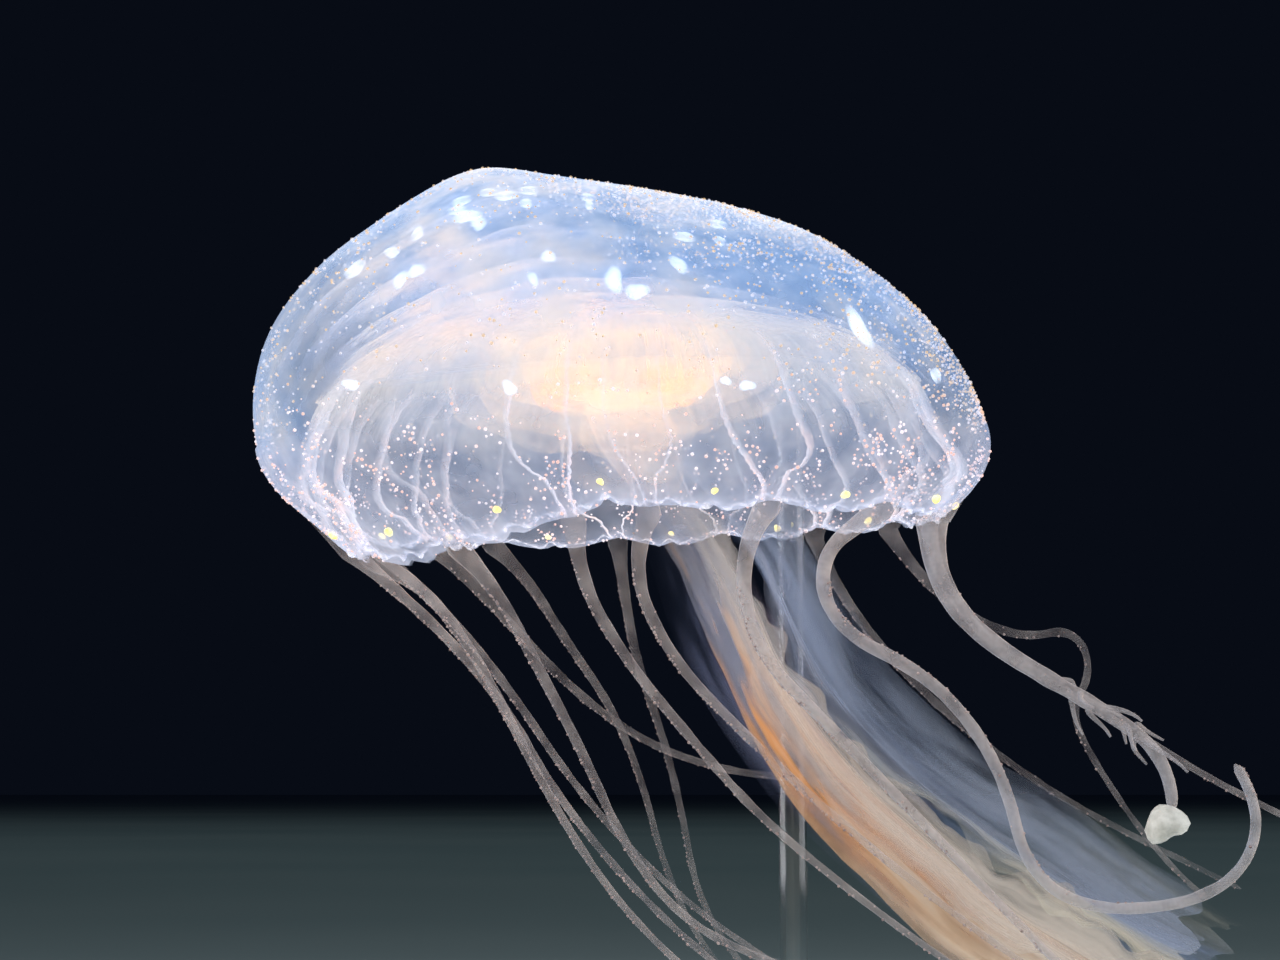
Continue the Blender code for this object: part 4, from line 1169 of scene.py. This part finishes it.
def makeTentacle(index, *finish):
    plan = planOf(index)
    route = tentacleRoute(index)
    total = routeLength(route)
    hidden = plan["hidden"]
    inMargin = wallPoint(tentacleAzimuth(index), 0, 0.62, 0.45)
    count = round((total + hidden) / plan["station"])
    cord = []
    for step in range(count + 1):
        spot = mix(-hidden, total, step / count)
        point = route[0].lerp(inMargin, -spot / hidden) if spot < 0 else routeFrame(route, spot)[0]
        share = max(spot, 0) / total
        girth = mix(plan["root"], plan["tip"], share ** plan["taper"])
        girth += plan["flare"] * math.exp(-max(spot, 0) / plan["flareLength"])
        girth -= plan["uneven"] * (1 + lumps((spot, index * 9, 0), 3.0))
        girth *= mix(1.0, plan["thinRoot"], max(-spot, 0) / hidden)
        girth *= math.sqrt(max(1 - ease(spot, total - plan["tip"] * 2, total) ** 2, 0.04))
        beaded = ease(spot, 2, 10) * (1 - 0.5 * share) * plan["beads"]
        cord.append((point, girth, spot, beaded, plan["pale"] * (0.6 + 0.6 * share)))
    return sweepCords(f"tentacle_{index + 1:02d}_skin", [cord], index, *finish)


# the torn skin and the curled knot near the end of the broad tentacle
tatters = {"tentacle": 3, "first": 30, "pitch": 1.4, "count": 11, "length": 4.5, "girth": (0.42, 0.12),
           "steps": 9, "seed": 20}
knot = {"size": (2.5, 2.7, 2.5), "lump": 0.25, "lumpSize": 1.6, "drop": (-0.8, 0, -1.6)}


def makeTatters(*finish):
    route = tentacleRoute(tatters["tentacle"])
    pale = planOf(tatters["tentacle"])["pale"]
    cords = []
    for order in range(tatters["count"]):
        start, along, lift, level = routeFrame(route, tatters["first"] + tatters["pitch"] * order)
        turn = order * 2.4
        side = lift * math.cos(turn) + level * math.sin(turn)
        length = tatters["length"] * (0.5 + 0.6 * math.sin(order * 1.7) ** 2)
        cord = []
        for step in range(tatters["steps"]):
            share = step / (tatters["steps"] - 1)
            point = start + side * (0.5 + length * 0.55 * share) + along * length * share ** 1.4
            point += Vector((0.6 * math.sin(order + share * 4), 0, -length * 0.3 * share ** 2))
            cord.append((point, mix(*tatters["girth"], share), 20.0, 0.0, pale))
        cords.append(cord)
    return sweepCords("tentacle_04_tatters", cords, tatters["seed"], *finish)


def makeKnot(material):
    centre = tentacleRoute(tatters["tentacle"])[-1] + Vector(knot["drop"])
    axes = (Vector((1, 0, 0)), Vector((0, 0, 1)), Vector((0, -1, 0)))
    return makeBlobs("tentacle_04_knot", [(centre, axes, knot["size"], 1.0)], material, knot["lump"],
                     knot["lumpSize"])


def acrylic(name, stretch, size, detail, shine, relief, surface, tones=()):
    # marks of making `size` mm apart, stretched along the way they run, over an even or a mottled colour
    material, add, spot = newMaterial(name, "spot")
    drawn = add("ShaderNodeMapping", {"Vector": spot, "Scale": stretch})
    marks = add("ShaderNodeTexNoise", {"Vector": drawn, "Scale": 1 / (size * mm), "Detail": detail})
    rough = add("ShaderNodeMapRange", (marks, 0.3, 0.7, *shine))
    normal = add("ShaderNodeBump", {"Strength": relief[0], "Distance": relief[1] * mm, "Height": marks})
    inputs = {"Roughness": rough, "IOR": 1.49, "Normal": normal, **surface}
    if tones:
        mottle = add("ShaderNodeTexNoise", {"Vector": spot, "Scale": 1 / (40 * mm), "Detail": 2.0})
        inputs["Base Color"] = add("ShaderNodeValToRGB", (mottle,), stops=tones)
    shader = add("ShaderNodeBsdfPrincipled", inputs)
    add("ShaderNodeOutputMaterial", {"Surface": shader})
    return material


def frostedPlate():
    # Cast acrylic plate with a satin face: milky, softly mottled, with fine sanding marks
    return acrylic("satinAcrylic", (1.0, 14.0, 1.0), 6, 4.0, (0.28, 0.42), (0.12, 0.1), {},
                   ((0.35, "#D5DADD"), (0.65, "#E2E6E8")))


def clearRod():
    # Extruded acrylic rod: clear and polished, with the faint draw lines of extrusion
    return acrylic("clearAcrylic", (1.0, 1.0, 0.02), 0.6, 2.0, (0.03, 0.09), (0.1, 0.05),
                   {"Base Color": linear("#EAF2F4"), "Transmission Weight": 1.0, "Alpha": 0.35})


def main():
    makeCamera()
    makeLights()
    makeStage()
    scene.view_settings.view_transform = "Standard"
    scene.cycles.transparent_max_bounces = 40
    print("stage ready")
    umbrella = makeUmbrella(clearJelly(), muscleSheet())
    setGlassy(makeWarts(umbrella, wartFinish()), "bell_jelly")
    setGlassy(umbrella, "bell_jelly", "bell", "margin_lappets")
    milky = milkyJelly()
    for number in range(len(milk["layers"])):
        setGlassy(makeMilk(number, milky), "bell_jelly")
    setGlassy(makeSepta(septumMembrane()), "margin_jelly")
    setGlassy(makeHem(lappetHem()), "margin_jelly")
    setGlassy(makePaintedHighlights(paintedHighlightFinish()), "bell_jelly")
    setGlassy(makeRhopalia(eyeFinish()), "margin_jelly")
    print("umbrella ready")
    setGlassy(makeStomach(gutLining()), "stomach_tissue", "stomach")
    setGlassy(makePaintedGlowHaze(paintedCoreGlow()), "stomach_tissue")
    setGlassy(makeThroat(throatTissue()), "manubrium_tissue", "manubrium")
    eggs = gonadTissue()
    for number in arms:
        setGlassy(makeGonad(number, eggs), "gonad_tissue", f"gonad_{number}")
        nodes = [f"oral_arm_{number}_{part}" for part in ("upper", "middle", "lower")]
        setGlassy(makeArm(number, armTissue(number)), "oral_arm_tissue", *nodes)
    print("stomach and arms ready")
    finish = (tentacleTree(), tentacleFlesh(), beadFinish())
    for index in range(tentacleSet["count"]):
        nodes = [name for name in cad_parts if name.startswith(f"tentacle_{index + 1:02d}_")]
        setPlace(makeTentacle(index, *finish), "tentacle_tissue", *nodes)
    setPlace(makeTatters(*finish), "tentacle_tissue")
    setPlace(makeKnot(curledTissue()), "tentacle_tissue")
    print("tentacles ready")
    for node, plastic in (("stand_base", frostedPlate()), ("stand_rod", clearRod())):
        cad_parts[node].data.materials.clear()
        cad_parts[node].data.materials.append(plastic)


main()
